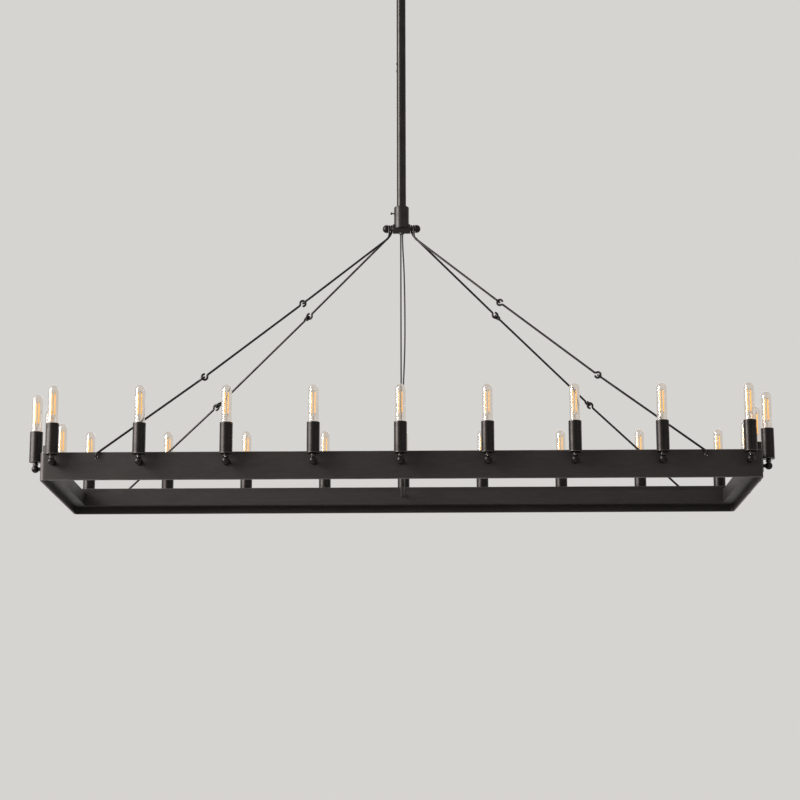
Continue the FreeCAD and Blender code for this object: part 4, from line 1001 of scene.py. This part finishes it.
    def stalk(self) -> Skin:
        """Glass stalk: a flared foot, a slim stem and the pinch that grips the wires."""
        foot = self.neck_level + 0.1
        share = np.linspace(0, 1, 7)
        radius = self.stalk_radius + (self.flare_radius - self.stalk_radius) * (1 - share) ** 2.2
        flare = np.column_stack([radius, foot + self.flare_height * share, np.zeros(7)])
        profile = np.concatenate([run((0, foot)), flare,
                                  run((self.stalk_radius, self.stalk_top - 5),
                                      (self.stalk_radius + 0.5, self.stalk_top - 3.2)),
                                  bend(0, self.stalk_top - self.pinch_radius, self.pinch_radius, 5, 90, 6)])
        profile[-1, 0] = 0.0
        return turned(profile, 14)

    def filament_places(self) -> Array:
        """Plan of the four bars round the bulb's axis."""
        angle = np.radians(45 + 90 * np.arange(4))
        return self.filament_circle * np.column_stack([np.cos(angle), np.sin(angle)])

    def filaments(self) -> Skin:
        """The four bars of one bulb, round-ended."""
        radius, low, high = self.filament_radius, self.filament_low, self.filament_high
        profile = np.concatenate([run((0, low)), run((radius * 0.75, low + 0.25), (radius, low + 1.0),
                                                     (radius, high - 1.0), (radius * 0.75, high - 0.25)),
                                  run((0, high))])
        bar = turned(profile, BAR_SIDES)
        return bar.shifted(np.column_stack([self.filament_places(), np.zeros(4)]))

    def supports(self) -> Skin:
        """Post and spider wires that hold the bars, with a clamp on each end of a bar."""
        low, high, crown = self.filament_low, self.filament_high, self.filament_high + self.crown_rise
        parts = [strut((0, 0, self.stalk_top - 4), (0, 0, crown), self.wire_radius, WIRE_SIDES)]
        clamp = self.filament_radius + self.clamp_slack
        for x, y in self.filament_places():
            parts += [strut((0, 0, self.stalk_top), (x, y, low), self.wire_radius, WIRE_SIDES),
                      strut((0, 0, crown - 0.3), (x, y, high), self.wire_radius, WIRE_SIDES),
                      strut((x, y, low - 0.2), (x, y, low + self.clamp_length), clamp, BAR_SIDES),
                      strut((x, y, high - self.clamp_length), (x, y, high + 0.2), clamp, BAR_SIDES)]
        return joined(parts)

    def build(self) -> None:
        """Make the lamps' pieces and dress the rest."""
        for name, skin, finish, node in (
                ("turned_cups", self.cup(), TURNED_STEEL, "socket_cups"),
                ("turned_balls", self.ball(), TURNED_STEEL, "arm_balls"),
                ("turned_beads", self.bead(), TURNED_STEEL, "cup_beads"),
                ("tube_bulbs", self.glass(), GLASS, "bulb_glass"),
                ("glass_stalks", self.stalk(), GLASS, "bulb_mounts"),
                ("glowing_filaments", self.filaments(), PHOSPHOR, "bulb_filaments"),
                ("filament_wires", self.supports(), NICKEL, "filament_supports")):
            add_piece(name, self.everywhere(skin), finish, Body.FRAME, [node])
        dress(TURNED_STEEL, "lamp_arms", "arm_washers", "arm_nuts")
        dress(ZINC, "cup_nipples")
        dress(PHENOLIC, "lamp_sockets")
        dress(NICKEL, "screw_shells", "socket_contacts", "bulb_caps")
        dress(WIRE, "lamp_leads")


@dataclass
class HubCords:
    """The two cords from the hub to the back channel, as routes of control points in metres."""
    diameter: float = 0.0034
    feed: tuple[tuple[float, float, float], ...] = (
        (-0.00195, 0, -0.8285), (-0.00195, 0, -0.8505), (-0.004, 0.15882, -1.38354),
        (-0.004, 0.175, -1.3953), (-0.004, 0.2004, -1.3953))
    feed_length: float = 0.6222
    earth_start: tuple[float, float, float] = (0.00195, 0, -0.8505)
    earth_fall: tuple[float, float, float] = (0.00205, 0.15882, -0.53304)
    earth_bow: float = 0.004
    earth_stand_out: tuple[tuple[float, float], ...] = (
        (0.10, 0.71), (0.20, 0.94), (0.30, 0.98), (0.40, 0.85), (0.50, 0.31), (0.60, -0.46), (0.70, -0.55),
        (0.80, -0.42), (0.90, -0.18))
    earth_length: float = 0.6224
    swing_end: tuple[float, float, float] = (0.0, 0.0, -0.905)

    def earth(self) -> Array:
        """Route of the slack cord: along its fall, standing out sideways by the bow."""
        share, out = np.array(self.earth_stand_out).T
        middle = np.array(self.earth_start) + share[:, None] * np.array(self.earth_fall)
        middle[:, 0] += self.earth_bow * out
        ends = np.array([(0.00195, 0, -0.8285), self.earth_start])
        return np.concatenate([ends, middle, [(0.004, 0.15882, -1.38354), (0.004, 0.175, -1.3953),
                                              (0.004, 0.2004, -1.3953)]])

    @staticmethod
    def smooth_line(route: Array) -> Array:
        """The NURBS line that has the route's points as its control points, read as points in metres."""
        data = bpy.data.curves.new("route", "CURVE")
        data.dimensions = "3D"
        spline = data.splines.new("NURBS")
        spline.points.add(len(route) - 1)
        spline.points.foreach_set("co", np.column_stack([route, np.ones(len(route))]).ravel())
        spline.order_u = 3
        spline.use_endpoint_u = True
        spline.resolution_u = 24
        holder = bpy.data.objects.new("route", data)
        mesh = bpy.data.meshes.new_from_object(holder)
        line = np.empty(len(mesh.vertices) * 3)
        mesh.vertices.foreach_get("co", line)
        bpy.data.objects.remove(holder)
        bpy.data.meshes.remove(mesh)
        return line.reshape(-1, 3)

    def add_cord(self, name: str, route: Array, node: str) -> None:
        """Make one cord from the hub at its top to the frame below.

        Args:
            name: the piece's name.
            route: control points in metres.
            node: the CAD node that it replaces.
        """
        line = self.smooth_line(route)
        skin = carried(line / MM, self.diameter / MM / 2, CORD_SIDES, (1, 0, 0), charted=True)
        piece = add_piece(name, skin, CORD, None, [node])
        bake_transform(piece)

    def build(self) -> None:
        """Make both cords."""
        self.add_cord("feed_cord_braided", np.array(self.feed), "feed_cord")
        self.add_cord("earth_cord_braided", self.earth(), "earth_cord")


# ---------------------------------------------------------------- studio
@dataclass(frozen=True)
class PlainBackdrop:
    """Pale matt floor that turns into the backdrop's colour away from the object."""
    floor: str = "#dad8d5"
    backdrop: str = "#d6d4d1"
    near: float = 1.6
    far: float = 5.5

    def material(self) -> bpy.types.Material:
        """Matt near the object, then the backdrop's own colour for camera, gloss and glass rays."""
        made = bpy.data.materials.new("studio_floor")
        tree = empty_tree(made)
        where = add_node(tree, "TexCoord").outputs["Object"]
        distance = add_node(tree, "VectorMath", {0: where}, operation="LENGTH").outputs["Value"]
        fade = add_node(tree, "MapRange", {"Value": distance, "From Min": self.near, "From Max": self.far},
                        interpolation_type="SMOOTHERSTEP").outputs["Result"]
        seen = add_node(tree, "Math", {0: fade, 1: seen_ray(tree)}, operation="MULTIPLY").outputs["Value"]
        matt = add_node(tree, "BsdfDiffuse", {"Color": linear(self.floor)}).outputs[0]
        plain = add_node(tree, "Emission", {"Color": linear(self.backdrop), "Strength": 1.0}).outputs[0]
        mixed = add_node(tree, "MixShader", {0: seen, 1: matt, 2: plain}).outputs[0]
        add_node(tree, "OutputMaterial", {"Surface": mixed})
        return made


def seen_ray(tree: bpy.types.NodeTree) -> bpy.types.NodeSocket:
    """1 for the rays that see the backdrop: camera, gloss and glass rays."""
    path = add_node(tree, "LightPath")
    value = path.outputs["Is Camera Ray"]
    for name in ("Is Glossy Ray", "Is Transmission Ray"):
        value = add_node(tree, "Math", {0: value, 1: path.outputs[name]},
                         operation="MAXIMUM").outputs["Value"]
    return value


@dataclass
class Studio:
    """Floor, backdrop, soft lights and the camera at the photograph's viewing angle."""
    floor_level: float = -3.05
    floor_radius: float = 60.0
    world_light: float = 0.45
    camera_place: tuple[float, float, float] = (0.063053, -4.595544, -2.220023)
    camera_yaw: float = -0.84050
    camera_pitch: float = 12.35827
    camera_roll: float = -0.117909
    lens: float = 95.0285
    sensor: float = 36.0

    def floor(self) -> None:
        """One round flat floor."""
        profile = run((0, -20), (self.floor_radius / MM, -20), (self.floor_radius / MM, 0), (0, 0))
        mesh = turned(profile, 96).mesh("studio_floor")
        mesh.transform(Matrix.Translation((0, 0, self.floor_level)))
        mesh.materials.append(PlainBackdrop().material())
        link_object("studio_floor", mesh)

    def world(self) -> None:
        """Backdrop colour for the rays that see it, and an even soft light for the rest."""
        world = bpy.data.worlds.new("studio")
        tree = empty_tree(world)
        plain = add_node(tree, "Background", {"Color": linear(PlainBackdrop().backdrop), "Strength": 1.0})
        light = add_node(tree, "Background", {"Color": linear("#f4f2ef"), "Strength": self.world_light})
        mixed = add_node(tree, "MixShader", {0: seen_ray(tree), 1: light.outputs[0], 2: plain.outputs[0]})
        add_node(tree, "OutputWorld", {"Surface": mixed.outputs[0]})
        bpy.context.scene.world = world

    @staticmethod
    def soft_light(name: str, place: Sequence[float], aim: Sequence[float], size: Sequence[float],
                   power: float, colour: str) -> None:
        """One rectangular soft box.

        Args:
            name: its name.
            place: its centre, in metres.
            aim: the point that it faces.
            size: width and height, in metres.
            power: watts.
            colour: its colour.
        """
        data = bpy.data.lights.new(name, "AREA")
        data.shape = "RECTANGLE"
        data.size, data.size_y = size
        data.energy = power
        data.color = linear(colour)[:3]
        lamp = link_object(name, data)
        lamp.location = place
        lamp.rotation_mode = "QUATERNION"
        lamp.rotation_quaternion = (Vector(aim) - Vector(place)).to_track_quat("-Z", "Y")
        lamp.visible_camera = False
        lamp.visible_transmission = False

    def lights(self) -> None:
        """Wide key from the left, a taller strip above it for the stem, a soft fill and one from behind."""
        self.soft_light("key", (-2.8, -1.2, -0.75), (-0.2, -0.2, -1.35), (2.6, 1.4), 200, "#fffaf6")
        self.soft_light("strip", (-2.6, -1.1, 0.45), (0.0, 0.0, -0.6), (1.1, 1.9), 120, "#fffcfa")
        self.soft_light("fill", (3.2, -2.6, -0.4), (0.2, 0.0, -1.1), (2.0, 2.0), 8, "#fffdfa")
        self.soft_light("back", (0.8, 3.6, 0.6), (0.0, 0.0, -1.1), (2.4, 1.6), 18, "#fffdfa")

    def camera(self) -> None:
        """Camera turned by yaw, pitch and roll, looking along +Y."""
        yaw, pitch, roll = (math.radians(a) for a in (self.camera_yaw, self.camera_pitch, self.camera_roll))
        right = np.array([math.cos(yaw), -math.sin(yaw), 0.0])
        ahead = np.array([math.cos(pitch) * math.sin(yaw), math.cos(pitch) * math.cos(yaw),
                          math.sin(pitch)])
        above = np.cross(right, ahead)
        tilted = math.cos(roll) * right + math.sin(roll) * above
        upright = -math.sin(roll) * right + math.cos(roll) * above
        data = bpy.data.cameras.new("camera")
        data.sensor_width, data.lens = self.sensor, self.lens
        camera = link_object("camera", data)
        axes = np.column_stack([tilted, upright, -ahead])
        camera.matrix_world = Matrix.LocRotScale(Vector(self.camera_place), Matrix(axes.tolist()), None)
        bpy.context.scene.camera = camera

    def build(self) -> None:
        """Set up the studio."""
        self.floor()
        self.world()
        self.lights()
        self.camera()
        bpy.context.scene.view_settings.view_transform = "Standard"


def main() -> None:
    """Build the sub-assemblies in order, then the studio."""
    logging.basicConfig(level=logging.INFO, format="%(message)s")
    lamps = CandleLamps()
    CeilingMount().build()
    StemAndHub().build()
    Chains().build()
    BarFrame().build(lamps)
    lamps.build()
    HubCords().build()
    Studio().build()


if __name__ == "__main__":
    main()
